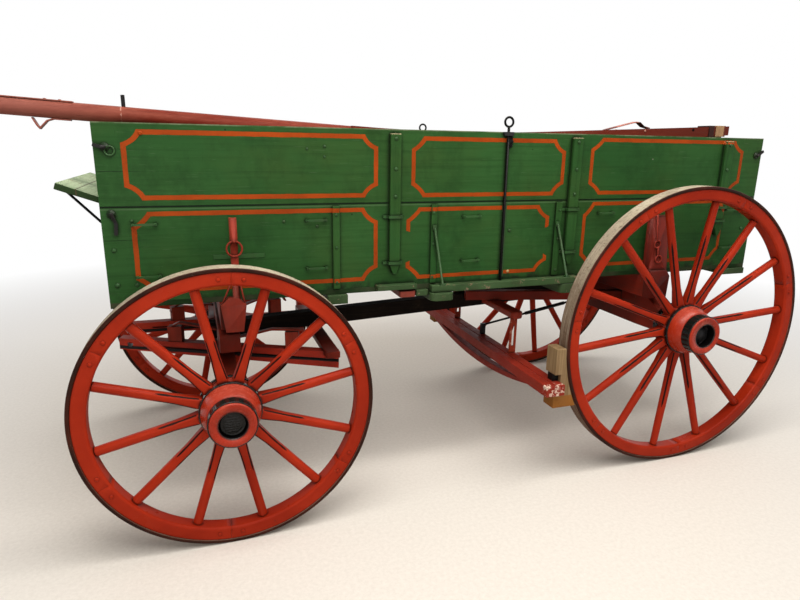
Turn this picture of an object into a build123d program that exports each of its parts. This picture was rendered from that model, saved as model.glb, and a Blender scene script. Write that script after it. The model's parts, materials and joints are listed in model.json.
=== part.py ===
"""Farm box wagon with a drop-in box, wood gear and four spoked wheels.

Frame: +X towards the front of the wagon, +Y to its left side, +Z up, ground at Z = 0.
The origin is on the ground, midway between the tongue's tip and the rear tyre's back, on the
centreline. All sizes are in millimetres.
"""
from collections import namedtuple
import math
import os

from build123d import *

# Fits
SEAT_GAP = 0.3                 # between pieces that seat on each other
BEARING_GAP = 0.6
HOLE_GAP = 0.5                 # round a rod in its hole
PIN_GAP = 1.0
SLIDE_GAP = 0.5                # round a stake cleat in its clips

# Wheels and stance
WHEELBASE = 2175.0
TRACK = 1444.0                 # between the tyres' middle planes
FRONT_WHEEL_R = 559.0          # 44 in wheel
REAR_WHEEL_R = 695.0           # 54 in wheel and its tyre
FRONT_FELLOES = 6
REAR_FELLOES = 7
SPOKES_PER_FELLOE = 2
FRONT_SPOKE_PHASE = 78.0       # degrees from +X towards +Z, seen from the left
REAR_SPOKE_PHASE = 98.4
TIRE_WIDTH = 76.0
TIRE_THICK = 13.0
TIRE_EDGE = 3.0
FELLOE_DEPTH = 54.0
FELLOE_WIDTH = 68.0
FELLOE_BEVEL = 7.0
FELLOE_JOINT = 1.0
SPOKE_DISH = 18.0              # how far the spoke feet lie inside the rim plane
SPOKE_FOOT = (50.0, 46.0, 7.0)     # along the axle, round the hub, corner cut
SPOKE_THROAT = (40.0, 37.0, 10.0)
SPOKE_TIP = (34.0, 36.0, 11.0)
SPOKE_THROAT_OUT = 95.0        # throat's distance from the hub

# Hubs, measured along the axle from the rim's middle plane, outwards positive
FRONT_HUB_R = 113.0
REAR_HUB_R = 118.0
FRONT_NOSE = 148.0
REAR_NOSE = 138.0
FRONT_NOSE_R = 86.0
REAR_NOSE_R = 90.0
NOSE_WALL = 34.0               # between the nose and its recess
NOSE_ROUND = 6.0
NOSE_LIP = 7.0                 # of the nose, outside its band
NOSE_BAND_W = 46.0
NOSE_STEP = 7.0                # from the barrel's small end down to the nose
HUB_SWELL = 5.0                # of the barrel, over a straight cone
HUB_INNER = -102.0
HUB_END_DROP = 26.0            # of the inner end, below the barrel
BARREL_BACK = -62.0
RECESS_DEPTH = 62.0
BAND_THICK = 5.0
MIDDLE_BAND = (9.0, 25.0)
CHEEK_BAND = (-60.0, -46.0)
END_BAND = (-101.0, -80.0)

# Skein, the iron sleeve that the hub runs on
SKEIN_R_OUT = 30.0
SKEIN_R_IN = 42.0
SKEIN_NECK = 8.0               # from the skein's small end down to its thread
NUT_GAP = 6.0                  # round the nut's flange, in the recess
NUT_FLANGE = 12.0
NUT_SHOULDER = 5.0
NUT_SINK = 22.0                # nut's face, in from the nose
NUT_HEAD_R = 38.0
COLLAR_R = 62.0
COLLAR_LENGTH = 14.0
COLLAR_GAP = 6.0

# Box
BOX_LENGTH = 3155.0
BOX_WIDTH = 1026.0
BOX_AHEAD = 405.0              # box front, ahead of the front axle
BOARD = 22.0
FLOOR_Z = 933.0
FLOOR_BOARDS = 8
FLOOR_SEAM = 2.0
LOWER_BOARD_H = 360.0
UPPER_BOARD_H = 300.0
BOARD_SEAM = 1.0
GATE_INSET = 45.0              # end gate, in from the side boards' ends
GATE_SIDE_GAP = 2.0
GUIDE = (26.0, 20.0)           # upright strips that hold the gates: along X, along Y
GUIDE_SHORT = 6.0              # of the guides, below the box top

# Cleats and strips on the side boards
CLEAT_T = 20.0
CLEAT_POINT = 42.0             # length of a cleat's pointed foot
CLEAT_POINT_W = 14.0
CLEAT_SHORT = 18.0             # of the cleats, below the box top
STRIP_T = 10.0
STRIP_LOW = 3.0                # above the floor
STRIP_SHORT = 9.0              # of the strips, below the board seam
CLIP_T = 6.0
CLIP_H = 12.0
CLIP_EARS = (20.0, 10.0)       # ahead of the cleat, behind it
STAPLE = (88.0, 24.0, 4.0)     # width, reach, half thickness
STAPLE_DROPS = (64.0, 262.0)   # of each pair, below the board seam

# Irons on the box
BOX_ROD_BACK = 1650.0          # from the box front
BOX_ROD_OUT = 8.0
BOX_ROD_R = 6.0
BOX_ROD_FOOT = 24.0            # below the floor
EYE_R = 20.0
EYE_RISE = 42.0                # eye's middle, above the box
KEEPER = (44.0, 18.0, 16.0)    # along X, out of the board, high
KEEPER_TAB = (18.0, 6.0, 42.0)
SIDE_BRACE_R = 5.0
SIDE_BRACE_DROP = 110.0        # brace head, below the board seam
BRACE_HEAD = (18.0, 5.0, 24.0)
BRACE_FOOT = (26.0, 18.0, 5.0)
BRACE_FOOT_OUT = 32.0
GATE_ROD_R = 6.0
GATE_ROD_OFF = 8.0             # rod's middle, from the gate's outer face
GATE_ROD_OUT = 16.0            # of the rod's ends, past the side boards
WASHER = (15.0, 4.0)           # radius, thickness
UPPER_ROD_DROP = 86.0          # below the box top
LOWER_ROD_DROP = 25.0          # below the board seam
LEVER_T = 6.0
LEVER_H = 12.0

# Rails and cross sills under the box
RAIL_REACH = 42.0              # how far a rail stands out from the box
RAIL_DROP = 13.0               # rail's underside, below the floor boards
RAIL_H = 32.0
RAIL_SPAN = (1295.0, 2060.0)   # from the box front
SHORT_RAIL_SPAN = (1045.0, 1225.0)
SHORT_RAIL = (10.0, 22.0)      # rise above the floor boards' underside, height
SILL_ROUND = 28.0

# Footboard
FOOT_HALF = 420.0
FOOT_THICK = 24.0
FOOT_REACH = 158.0             # ahead of the side boards
FOOT_ROOT_UP = 3.0             # underside at the box front, above the board seam
FOOT_RISE = 58.0
FOOT_EDGE_CUT = 8.0
FOOT_BRACE_R = 5.0
FOOT_BRACE_IN = 60.0
FOOT_BRACE_DROP = 150.0
FOOT_BRACE_BACK = 20.0

# Bolsters, stakes and the front turntable
BOLSTER_HALF = 552.0
FRONT_BOLSTER_W = 90.0
REAR_BOLSTER_W = 120.0
FRONT_BOLSTER_SET = -34.0      # bolster's middle, from its axle
REAR_BOLSTER_SET = 65.0
FRONT_BOLSTER_H = 119.0
BOLSTER_END_UP = 12.0          # of the front bolster's ends
BOLSTER_SLOPE = 250.0
TURN_PLATE = 5.0
TURN_PLATE_HALF = 240.0
TURN_GAP = 0.6
SHOE_LENGTH = 40.0             # iron shoe on a bolster's end
SHOE_RISE = 29.0               # its pyramid top
STAKE_T = 28.0
STAKE_GAP = 30.0               # between the side boards and a stake
FRONT_STAKE_W = 28.0
FRONT_STAKE_SET = -21.0        # from the bolster's middle
FRONT_STAKE_H = 339.0
REAR_STAKE_H = 304.0
RING_DROP = 117.0              # ring's middle, below the front stake's top
RING = (29.0, 3.5)             # radius, wire radius
STAY_R = 3.5
STAY_RISE = 110.0
KINGPIN_R = 13.0
KINGPIN_NUT = (26.0, 16.0)     # across corners / 2, height
KINGPIN_FOOT = 40.0            # below the axle

# Front gear
AXLE_W = 86.0
AXLE_TAPER = (160.0, 120.0)    # length of the ends' slopes: underneath, on top
AXLE_END = (50.0, 60.0)        # of the bed's ends: below the axle line, above it
FRONT_AXLE_UP = 105.0          # bed's top, above the axle line
FRONT_AXLE_DOWN = 47.0
HOUND_W = 50.0
HOUND_GROOVE = 8.0
HOUND_GROOVE_END = 110.0       # solid end of a hound, at the tongue pin
SAND_BOARD_W = 80.0
SAND_BOARD_SET = -20.0
SAND_BOARD_HALF = 565.0
SAND_BOARD_END_UP = 70.0
SAND_BOARD_SLOPE = 240.0
REACH_SLOT = (80.0, 170.0)     # half length, half width
REACH_SLOT_Z = (-56.0, 54.0)   # from the bed's top
FRONT_HOUND_REAR = (-510.0, 362.0, 26.0, 76.0)    # X from the axle, Y, up from it, height
FRONT_HOUND_FRONT = (430.0, 112.0, 116.0, 50.0)
SWAY_SET = -470.0
SWAY = (64.0, 30.0)            # along X, high
SWAY_HALF = 430.0
SWAY_LET_IN = 14.0
TONGUE_PIN_X = 392.0
TONGUE_PIN_R = 12.0
HOUND_STRAP = (30.0, 8.0)      # width, thickness
HOUND_BLOCK = (61.0, 44.0)     # along the hound, across it

# Reach and rear gear
REACH_W = 62.0
REACH_DEPTH = 76.0
REACH_AHEAD = 70.0
REACH_FRONT_UP = 3.0           # its middle, above the front bed's top
REACH_BEHIND = 225.0
REACH_REAR_UP = 79.0           # its middle, above the rear axle line
REAR_AXLE_W = 96.0
REAR_AXLE_UP = 127.0
REAR_AXLE_DOWN = 55.0
REAR_HOUND_H = 50.0
REAR_HOUND_UP = 46.0           # underside, above the rear axle line
REAR_HOUND_FRONT = (885.0, 62.0)       # X ahead of the rear axle, Y
REAR_HOUND_REAR = (-125.0, 330.0)

# Brake
BRAKE_AHEAD = 72.0             # beam's middle, ahead of the rear tyre
BRAKE_DROP = 210.0             # beam's middle, below the rear axle line
BRAKE_BEAM = (95.0, 50.0)      # along X, along Z
BRAKE_GROOVE = (6.0, 5.0)      # width, depth
BRAKE_HALF = 800.0
BRAKE_BLOCK_AHEAD = 55.0       # block's front, ahead of the tyre
BRAKE_BLOCK = (140.0, 80.0)    # depth before the tyre is cut out, width
BRAKE_BLOCK_Z = (-103.0, 184.0)    # from the beam's middle
BRAKE_BLOCK_GAP = 6.0
BRAKE_IRON = (40.0, 35.0)      # along Y, high
BRAKE_BOW_IN = 130.0           # bow's ends, in from the beam's
BRAKE_BOW_DROP = 90.0
BRAKE_BOW_T = 34.0
BRAKE_BOW_FOOT = 60.0
BRAKE_BOW_W = 40.0
BRAKE_BAR_AHEAD = 40.0
BRAKE_BAR = (64.0, 36.0)       # along X, along Z
BRAKE_BAR_HALF = 387.0
BRAKE_BAR_ROUND = 30.0
HANGER_IN = 47.0               # hanger's middle, in from the bar's end
HANGER = (38.0, 9.0)           # along X, along Y
HANGER_SLOT = (14.0, 40.0)     # width, distance from the ends
BRAKE_ROD_R = 6.0
BRAKE_ROD_THICK_R = 10.0
BRAKE_ROD_THICK = (0.40, 0.78)     # shares of the rod's run
BRAKE_LUG = (26.0, 18.0, 62.0)
BRAKE_ROD_END_DOWN = 15.0      # below the rear axle line

# Tongue, stored on the box
TONGUE_Y = 250.0
TONGUE_AHEAD = 545.0           # tip, ahead of the box front
TONGUE_BOW = (1005.0, 1100.0)  # the pole's sag, back from the box front and ahead of its rear
TONGUE_SLOPE = math.radians(3.3)
TONGUE_R_BUTT = 37.0
TONGUE_R_TIP = 31.0
TONGUE_BUTT_H = 48.0
TONGUE_STRAP_W = 34.0
TONGUE_STRAP_T = 5.0
TONGUE_BAND_T = 4.0
TONGUE_FOOT_W = 50.0
TOP_STRAP_LENGTH = 460.0
STORE_PIN = (90.0, 7.5, 44.0)  # back from the box front, radius, rise above the tongue

# Places worked out from the sizes above
FRONT_REACH = BOX_AHEAD + TONGUE_AHEAD + TONGUE_R_TIP * math.sin(TONGUE_SLOPE)
FRONT_X = (WHEELBASE + REAR_WHEEL_R - FRONT_REACH) / 2
REAR_X = FRONT_X - WHEELBASE
HALF_TRACK = TRACK / 2
FLOOR_TOP = FLOOR_Z + BOARD
SEAM_Z = FLOOR_TOP + LOWER_BOARD_H
BOX_TOP = SEAM_Z + UPPER_BOARD_H
BOX_FRONT = FRONT_X + BOX_AHEAD
BOX_REAR = BOX_FRONT - BOX_LENGTH
BOX_HALF = BOX_WIDTH / 2
BOX_INSIDE = BOX_HALF - BOARD
BOX_ROD_X = BOX_FRONT - BOX_ROD_BACK
BOX_ROD_Y = BOX_HALF + BOX_ROD_OUT
FRONT_GATE = (BOX_FRONT - GATE_INSET - BOARD, BOX_FRONT - GATE_INSET)
REAR_GATE = (BOX_REAR + GATE_INSET, BOX_REAR + GATE_INSET + BOARD)
FRONT_ROD_X = FRONT_GATE[1] + GATE_ROD_OFF
REAR_ROD_X = REAR_GATE[0] - GATE_ROD_OFF
UPPER_ROD_Z = BOX_TOP - UPPER_ROD_DROP
LOWER_ROD_Z = SEAM_Z - LOWER_ROD_DROP
RAIL_Z = (FLOOR_Z - RAIL_DROP, FLOOR_Z - RAIL_DROP + RAIL_H)
FRONT_AXLE_TOP = FRONT_WHEEL_R + FRONT_AXLE_UP
REAR_AXLE_TOP = REAR_WHEEL_R + REAR_AXLE_UP
FRONT_BOLSTER_Z = FLOOR_Z - FRONT_BOLSTER_H
FRONT_BOLSTER_X = FRONT_X + FRONT_BOLSTER_SET
REAR_BOLSTER_X = REAR_X + REAR_BOLSTER_SET
REAR_HOUND_Z = REAR_WHEEL_R + REAR_HOUND_UP
TIRE_FRONT = REAR_X + REAR_WHEEL_R
BRAKE_X = TIRE_FRONT + BRAKE_AHEAD
BRAKE_Z = REAR_WHEEL_R - BRAKE_DROP
BRAKE_TOP = BRAKE_Z + BRAKE_BEAM[1] / 2
BRAKE_LOW = BRAKE_Z - BRAKE_BEAM[1] / 2
BRAKE_BAR_X = TIRE_FRONT + BRAKE_BAR_AHEAD
BRAKE_BAR_LOW = REAR_HOUND_Z - BRAKE_BAR[1]

Wheel = namedtuple("Wheel", "end x r felloes phase hub_r nose nose_r")
WHEELS = [
    Wheel("front", FRONT_X, FRONT_WHEEL_R, FRONT_FELLOES, FRONT_SPOKE_PHASE,
          FRONT_HUB_R, FRONT_NOSE, FRONT_NOSE_R),
    Wheel("rear", REAR_X, REAR_WHEEL_R, REAR_FELLOES, REAR_SPOKE_PHASE,
          REAR_HUB_R, REAR_NOSE, REAR_NOSE_R),
]
# Stake cleats: middle X, width, pointed foot above the floor, clips' drops below the seam
CLEATS = [
    (BOX_FRONT - 1127.0, 46.0, 56.0, (58.0, 256.0)),
    (BOX_REAR + 1145.0, 50.0, 56.0, (43.0, 245.0)),
    (BOX_REAR + 239.0, 48.0, 164.0, (50.0, 120.0)),
]
# Narrow strips on the lower boards: middle X, width
STRIPS = [(BOX_FRONT - 874.0, 30.0), (BOX_FRONT - 1311.0, 28.0), (BOX_REAR + 1214.0, 32.0)]
# Slanting side braces: head's X, foot's X
SIDE_BRACES = [(BOX_FRONT - 1311.0, BOX_FRONT - 1350.0), (BOX_REAR + 1219.0, BOX_REAR + 1157.0)]
STAPLES_X = [
    BOX_FRONT - 145.0, BOX_FRONT - 790.0, BOX_FRONT - 1489.0, BOX_REAR + 950.0, BOX_REAR + 160.0,
]
# Cross sills: middle X, width, half length, drop of the underside, drop of the ends' top
SILLS = [
    (BOX_FRONT - 875.0, 88.0, 535.0, 40.0, 0.0),
    (BOX_FRONT - 1185.0, 70.0, 545.0, 28.0, 0.0),
    (BOX_FRONT - 1255.0, 58.0, 540.0, 27.0, 0.0),
    (BOX_FRONT - 1341.0, 110.0, 580.0, 47.0, RAIL_DROP),
    (BOX_REAR + 1150.0, 90.0, 560.0, 59.0, RAIL_DROP),
    (BOX_REAR + 72.0, 150.0, 520.0, 33.0, 0.0),
]


def block(x, y, z):
    """A box between two values of each axis."""
    middle = (sum(x) / 2, sum(y) / 2, sum(z) / 2)
    return Pos(*middle) * Box(abs(x[1] - x[0]), abs(y[1] - y[0]), abs(z[1] - z[0]))


def span(middle, width):
    """The two ends of a width round its middle."""
    return (middle - width / 2, middle + width / 2)


def both_sides(solid):
    """The solid and its mirror image across the wagon's centreline."""
    return [solid, solid.mirror(Plane.XZ)]


def rod(start, end, radius):
    """A round bar between two points."""
    start, end = Vector(*start), Vector(*end)
    axis = end - start
    return Plane(origin=start, z_dir=axis) * Cylinder(
        radius, axis.length, align=(Align.CENTER, Align.CENTER, Align.MIN)
    )


def upright_rod(x, y, z, radius):
    """A round bar along Z between the two heights in z."""
    return rod((x, y, z[0]), (x, y, z[1]), radius)


def cross_rod(x, z, half, radius):
    """A round bar along Y, as long on both sides of the centreline."""
    return rod((x, -half, z), (x, half, z), radius)


def bar(start, end, width, height):
    """A straight bar in an XY direction, with its width level and its height upright."""
    start, end = Vector(*start), Vector(*end)
    axis = end - start
    level = Vector(-axis.Y, axis.X, 0).normalized()
    plane = Plane(origin=start, x_dir=level, z_dir=axis)
    return plane * Box(width, height, axis.length, align=(Align.CENTER, Align.CENTER, Align.MIN))


def plate(plane, points, thick):
    """A flat piece of a polygon's outline, half its thickness on each side of the plane."""
    return extrude(plane * make_face(Polyline(points, close=True)), thick / 2, both=True)


def beside(points, distance):
    """A path's points moved to its left, mitred at its bends."""
    path = [Vector(s, t, 0) for s, t in points]
    turns = [(after - before).normalized() for before, after in zip(path, path[1:])]
    sides = [Vector(-turn.Y, turn.X, 0) for turn in turns]
    moved = []
    for point, before, after in zip(path, sides[:1] + sides, sides + sides[-1:]):
        mitre = (before + after).normalized()
        place = point + mitre * (distance / mitre.dot(after))
        moved.append((place.X, place.Y))
    return moved


def strap(plane, points, thick, width):
    """An iron strap bent along points of the plane, each the middle of its thickness."""
    left = beside(points, thick / 2)
    right = beside(points, -thick / 2)
    return plate(plane, left + right[::-1], width)


def write(node, solids):
    """Write one node's solids to its own file."""
    export_step(Compound(children=list(solids)), f"parts/{node}.step")


def turned_face(lines):
    """The face inside lines drawn as (radius, along the axle)."""
    edges = []
    for line in lines:
        edges += line.edges()
    return make_face(edges)


def turned(points):
    """A solid of revolution about the Y axis from (along, radius) corners."""
    outline = Polyline([(radius, along) for along, radius in points], close=True)
    return revolve(make_face(outline), Axis.Y)


# Wheels are made at the origin with the axle along Y, outer side towards +Y
def make_tire(wheel):
    half = TIRE_WIDTH / 2
    edge = TIRE_EDGE
    return turned([
        (-half, wheel.r - TIRE_THICK),
        (half, wheel.r - TIRE_THICK),
        (half, wheel.r - edge),
        (half - edge, wheel.r),
        (edge - half, wheel.r),
        (-half, wheel.r - edge),
    ])


def make_felloes(wheel):
    """Curved rim pieces, each on two spokes, that nearly meet midway between spokes."""
    half = FELLOE_WIDTH / 2
    outer = wheel.r - TIRE_THICK - SEAT_GAP
    inner = wheel.r - TIRE_THICK - FELLOE_DEPTH
    bevel = FELLOE_BEVEL
    section = Polyline([
        (inner + bevel, -half),
        (inner, bevel - half),
        (inner, half - bevel),
        (inner + bevel, half),
        (outer, half),
        (outer, -half),
    ], close=True)
    step = 360 / wheel.felloes
    joint = math.degrees(FELLOE_JOINT / wheel.r)
    piece = revolve(make_face(section), Axis.Y, step - joint)
    start = -wheel.phase - step / SPOKES_PER_FELLOE / 2 + joint / 2
    return [Rot(Y=start - k * step) * piece for k in range(wheel.felloes)]


def nose_band(wheel):
    """The nose band's two ends along the axle."""
    outer = wheel.nose - NOSE_LIP
    return (outer - NOSE_BAND_W, outer)


def hub_end_r(wheel):
    return wheel.hub_r - HUB_END_DROP


def make_hub(wheel):
    """Turned hub: a tapered bore for the skein and a recess in the nose for its nut."""
    end_r = hub_end_r(wheel)
    recess = wheel.nose_r - NOSE_WALL
    bottom = wheel.nose - RECESS_DEPTH
    shoulder = nose_band(wheel)[0]
    small = wheel.nose_r + NOSE_STEP
    swell = ((wheel.hub_r + small) / 2 + HUB_SWELL, (MIDDLE_BAND[1] + shoulder) / 2)
    cut_in = NOSE_ROUND * (1 - math.sqrt(0.5))
    edge = (wheel.nose_r - cut_in, wheel.nose - cut_in)
    back = Polyline([
        (SKEIN_R_IN + BEARING_GAP, HUB_INNER),
        (end_r, HUB_INNER),
        (end_r, END_BAND[1]),
        (wheel.hub_r, BARREL_BACK),
        (wheel.hub_r, MIDDLE_BAND[1]),
    ])
    barrel = ThreePointArc((wheel.hub_r, MIDDLE_BAND[1]), swell, (small, shoulder))
    nose = Polyline([
        (small, shoulder),
        (wheel.nose_r, shoulder),
        (wheel.nose_r, wheel.nose - NOSE_ROUND),
    ])
    lip = ThreePointArc(
        (wheel.nose_r, wheel.nose - NOSE_ROUND), edge, (wheel.nose_r - NOSE_ROUND, wheel.nose)
    )
    inside = Polyline([
        (wheel.nose_r - NOSE_ROUND, wheel.nose),
        (recess, wheel.nose),
        (recess, bottom),
        (SKEIN_R_OUT + BEARING_GAP, bottom),
        (SKEIN_R_IN + BEARING_GAP, HUB_INNER),
    ])
    return revolve(turned_face([back, barrel, nose, lip, inside]), Axis.Y)


def make_hub_bands(wheel):
    rows = [
        # ends along the axle, radius of the wood under the band
        (nose_band(wheel), wheel.nose_r),
        (MIDDLE_BAND, wheel.hub_r),
        (CHEEK_BAND, wheel.hub_r),
        (END_BAND, hub_end_r(wheel)),
    ]
    bands = []
    for along, wood_r in rows:
        inner = wood_r + SEAT_GAP
        bands.append(turned([
            (along[0], inner),
            (along[1], inner),
            (along[1], inner + BAND_THICK),
            (along[0], inner + BAND_THICK),
        ]))
    return bands


def spoke_section(size, out, shift):
    """A spoke's section at a distance from the axle: a rectangle with its corners cut."""
    along, around, cut = size
    a, b = along / 2, around / 2
    corners = [
        (a - cut, b), (cut - a, b), (-a, b - cut), (-a, cut - b),
        (cut - a, -b), (a - cut, -b), (a, cut - b), (a, b - cut),
    ]
    plane = Plane(origin=(0, shift, out), x_dir=(0, 1, 0), z_dir=(0, 0, 1))
    return plane * make_face(Polyline(corners, close=True))


def make_spokes(wheel):
    """Dished spokes: a square foot at the hub, a slim throat, an eight-sided tip."""
    rim_r = wheel.r - TIRE_THICK - FELLOE_DEPTH
    foot_r = wheel.hub_r - SPOKE_FOOT[2]
    throat_r = wheel.hub_r + SPOKE_THROAT_OUT
    tip_r = rim_r + SPOKE_TIP[2]
    lean = SPOKE_DISH / (tip_r - foot_r)
    blank = loft([
        spoke_section(SPOKE_FOOT, foot_r, -SPOKE_DISH),
        spoke_section(SPOKE_THROAT, throat_r, -lean * (tip_r - throat_r)),
        spoke_section(SPOKE_TIP, tip_r, 0),
    ], ruled=True)
    reach = 2 * TIRE_WIDTH + 2 * SPOKE_DISH
    room = Rot(X=90) * Cylinder(rim_r - SEAT_GAP, reach)
    room -= Rot(X=90) * Cylinder(wheel.hub_r + SEAT_GAP, 2 * reach)
    spoke = blank & room
    count = wheel.felloes * SPOKES_PER_FELLOE
    return [Rot(Y=90 - wheel.phase - 360 / count * k) * spoke for k in range(count)]


def make_skein(wheel):
    """Iron arm, collar and nut of one axle end, outer side towards +Y, in hub coordinates."""
    bottom = wheel.nose - RECESS_DEPTH
    seat = bottom + NUT_SHOULDER
    face = wheel.nose - NUT_SINK
    root = HUB_INNER - COLLAR_GAP
    flange_r = wheel.nose_r - NOSE_WALL - NUT_GAP
    arm = turned([
        (root - COLLAR_LENGTH, 0),
        (root - COLLAR_LENGTH, COLLAR_R),
        (root, COLLAR_R),
        (root, SKEIN_R_IN),
        (bottom, SKEIN_R_OUT),
        (bottom, SKEIN_R_OUT - SKEIN_NECK),
        (seat, SKEIN_R_OUT - SKEIN_NECK),
        (seat, flange_r),
        (seat + NUT_FLANGE, flange_r),
        (seat + NUT_FLANGE, 0),
    ])
    head = Plane(origin=(0, seat, 0), z_dir=(0, 1, 0)) * extrude(
        RegularPolygon(NUT_HEAD_R, 6), face - seat
    )
    return arm + head


def place_wheel(solids, x, z, side):
    """Move pieces made in hub coordinates to one end of an axle; side is 1 left, -1 right."""
    turn = Rot() if side > 0 else Rot(Z=180)
    return [Pos(x, side * HALF_TRACK, z) * turn * s for s in solids]


def write_wheels():
    for wheel in WHEELS:
        pieces = {
            "tire": [make_tire(wheel)],
            "felloes": make_felloes(wheel),
            "spokes": make_spokes(wheel),
            "hub": [make_hub(wheel)],
            "hub_bands": make_hub_bands(wheel),
        }
        for name, side in (("left", 1), ("right", -1)):
            for piece, solids in pieces.items():
                write(f"{piece}_{wheel.end}_{name}", place_wheel(solids, wheel.x, wheel.r, side))
        skeins = []
        for side in (1, -1):
            skeins += place_wheel([make_skein(wheel)], wheel.x, wheel.r, side)
        write(f"skeins_{wheel.end}", skeins)


# Box
def gate_rod_holes():
    """Room for the four gate rods through the side boards and guides."""
    holes = []
    for x in (FRONT_ROD_X, REAR_ROD_X):
        for z in (UPPER_ROD_Z, LOWER_ROD_Z):
            holes.append(cross_rod(x, z, BOX_WIDTH, GATE_ROD_R + HOLE_GAP))
    return holes


def write_floor():
    width = (BOX_WIDTH - (FLOOR_BOARDS - 1) * FLOOR_SEAM) / FLOOR_BOARDS
    boards = []
    for k in range(FLOOR_BOARDS):
        low = -BOX_HALF + k * (width + FLOOR_SEAM)
        boards.append(block((BOX_REAR, BOX_FRONT), (low, low + width), (FLOOR_Z, FLOOR_TOP)))
    write("box_floor", boards)


def write_sides():
    holes = gate_rod_holes()
    for name, side in (("left", 1), ("right", -1)):
        y = (side * BOX_INSIDE, side * BOX_HALF)
        lower = block((BOX_REAR, BOX_FRONT), y, (FLOOR_TOP, SEAM_Z - BOARD_SEAM))
        upper = block((BOX_REAR, BOX_FRONT), y, (SEAM_Z, BOX_TOP))
        write(f"side_lower_{name}", [lower - holes])
        write(f"side_upper_{name}", [upper - holes])


def write_cleats():
    """Stake cleats of the upper boards, with pointed feet, and strips on the lower boards."""
    side_plane = Plane.XZ.offset(-BOX_HALF - CLEAT_T / 2)
    cleats = []
    for x, width, foot, _ in CLEATS:
        low = FLOOR_TOP + foot
        high = BOX_TOP - CLEAT_SHORT
        cleats += both_sides(plate(side_plane, [
            (x - width / 2, high),
            (x - width / 2, low + CLEAT_POINT),
            (x - CLEAT_POINT_W / 2, low),
            (x + CLEAT_POINT_W / 2, low),
            (x + width / 2, low + CLEAT_POINT),
            (x + width / 2, high),
        ], CLEAT_T))
    for x, width in STRIPS:
        z = (FLOOR_TOP + STRIP_LOW, SEAM_Z - STRIP_SHORT)
        cleats += both_sides(block(span(x, width), (BOX_HALF, BOX_HALF + STRIP_T), z))
    write("side_cleats", cleats)


def write_gates():
    half = BOX_INSIDE - GATE_SIDE_GAP
    for node, x in (("end_gate_front", FRONT_GATE), ("end_gate_rear", REAR_GATE)):
        lower = block(x, (-half, half), (FLOOR_TOP, SEAM_Z - BOARD_SEAM))
        upper = block(x, (-half, half), (SEAM_Z, BOX_TOP))
        write(node, [lower, upper])


def write_gate_guides():
    """Upright strips inside the box that hold the end gates, the outer ones bored for rods."""
    pieces = []
    y = (BOX_INSIDE - GUIDE[1], BOX_INSIDE)
    z = (FLOOR_TOP, BOX_TOP - GUIDE_SHORT)
    for x in (FRONT_GATE, REAR_GATE):
        for strip in ((x[0] - GUIDE[0], x[0]), (x[1], x[1] + GUIDE[0])):
            pieces += both_sides(block(strip, y, z) - gate_rod_holes())
    write("gate_cleats", pieces)


def gate_rod(x, z):
    """A tie rod across the box, with a washer against each side board."""
    iron = cross_rod(x, z, BOX_HALF + GATE_ROD_OUT, GATE_ROD_R)
    seat = BOX_HALF + SEAT_GAP
    for side in (1, -1):
        iron += rod((x, side * seat, z), (x, side * (seat + WASHER[1]), z), WASHER[0])
    return iron


def gate_lever(plane, points):
    """Levers on the rod's two ends, each along points given from the rod's end."""
    reach = BOX_HALF + GATE_ROD_OUT - LEVER_T / 2
    levers = []
    for side in (1, -1):
        levers.append(strap(plane.offset(-side * reach), points, LEVER_H, LEVER_T))
    return levers


def write_gate_irons():
    """Rods that tie the side boards at the end gates, with their hook levers."""
    rows = [
        # rod's X and Z, lever's points along X and Z
        (FRONT_ROD_X, UPPER_ROD_Z, [(-4, -2), (16, 2), (36, 8)]),
        (FRONT_ROD_X, LOWER_ROD_Z, [(0, 4), (-14, -36), (-10, -76)]),
        (REAR_ROD_X, UPPER_ROD_Z, [(4, -4), (-14, 8), (-34, 22)]),
        (REAR_ROD_X, LOWER_ROD_Z, [(2, 4), (30, -28), (60, -52)]),
    ]
    irons = []
    for x, z, points in rows:
        iron = gate_rod(x, z)
        places = [(x + along, z + up) for along, up in points]
        for lever in gate_lever(Plane.XZ, places):
            iron += lever
        irons.append(iron)
    write("gate_irons", irons)


def u_staple(x, z):
    """A staple that stands out from the side board, its legs into the board's face."""
    width, reach, thick = STAPLE
    outer = block(span(x, width), (BOX_HALF, BOX_HALF + reach), (z - thick, z + thick))
    inner = block(
        span(x, width - 4 * thick),
        (BOX_HALF, BOX_HALF + reach - 2 * thick),
        (z - 2 * thick, z + 2 * thick),
    )
    return outer - inner


def write_staples():
    staples = []
    for x in STAPLES_X:
        for drop in STAPLE_DROPS:
            staples += both_sides(u_staple(x, SEAM_Z - drop))
    write("bow_staples", staples)


def write_box_rods():
    """Upright rods at mid length with a ring eye above the box."""
    eye_z = BOX_TOP + EYE_RISE
    eye = Pos(BOX_ROD_X, BOX_ROD_Y, eye_z) * Rot(X=90) * Torus(EYE_R, BOX_ROD_R - 1)
    z = (FLOOR_Z - BOX_ROD_FOOT, eye_z - EYE_R)
    write("box_rods", both_sides(upright_rod(BOX_ROD_X, BOX_ROD_Y, z, BOX_ROD_R) + eye))


def cleat_clip(x, z, width):
    """A strap bent round a stake cleat, with an ear on the lower board at each side."""
    inner = width + 2 * SLIDE_GAP
    outer = inner + 2 * CLIP_T
    face = BOX_HALF + SEAT_GAP
    out = BOX_HALF + CLEAT_T + SLIDE_GAP
    heights = span(z, CLIP_H)
    clip = block(span(x, outer), (face, out + CLIP_T), heights)
    clip -= block(span(x, inner), (BOX_HALF, out), span(z, 2 * CLIP_H))
    clip += block((x + inner / 2, x + outer / 2 + CLIP_EARS[0]), (face, face + CLIP_T), heights)
    clip += block((x - outer / 2 - CLIP_EARS[1], x - inner / 2), (face, face + CLIP_T), heights)
    return clip


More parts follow.
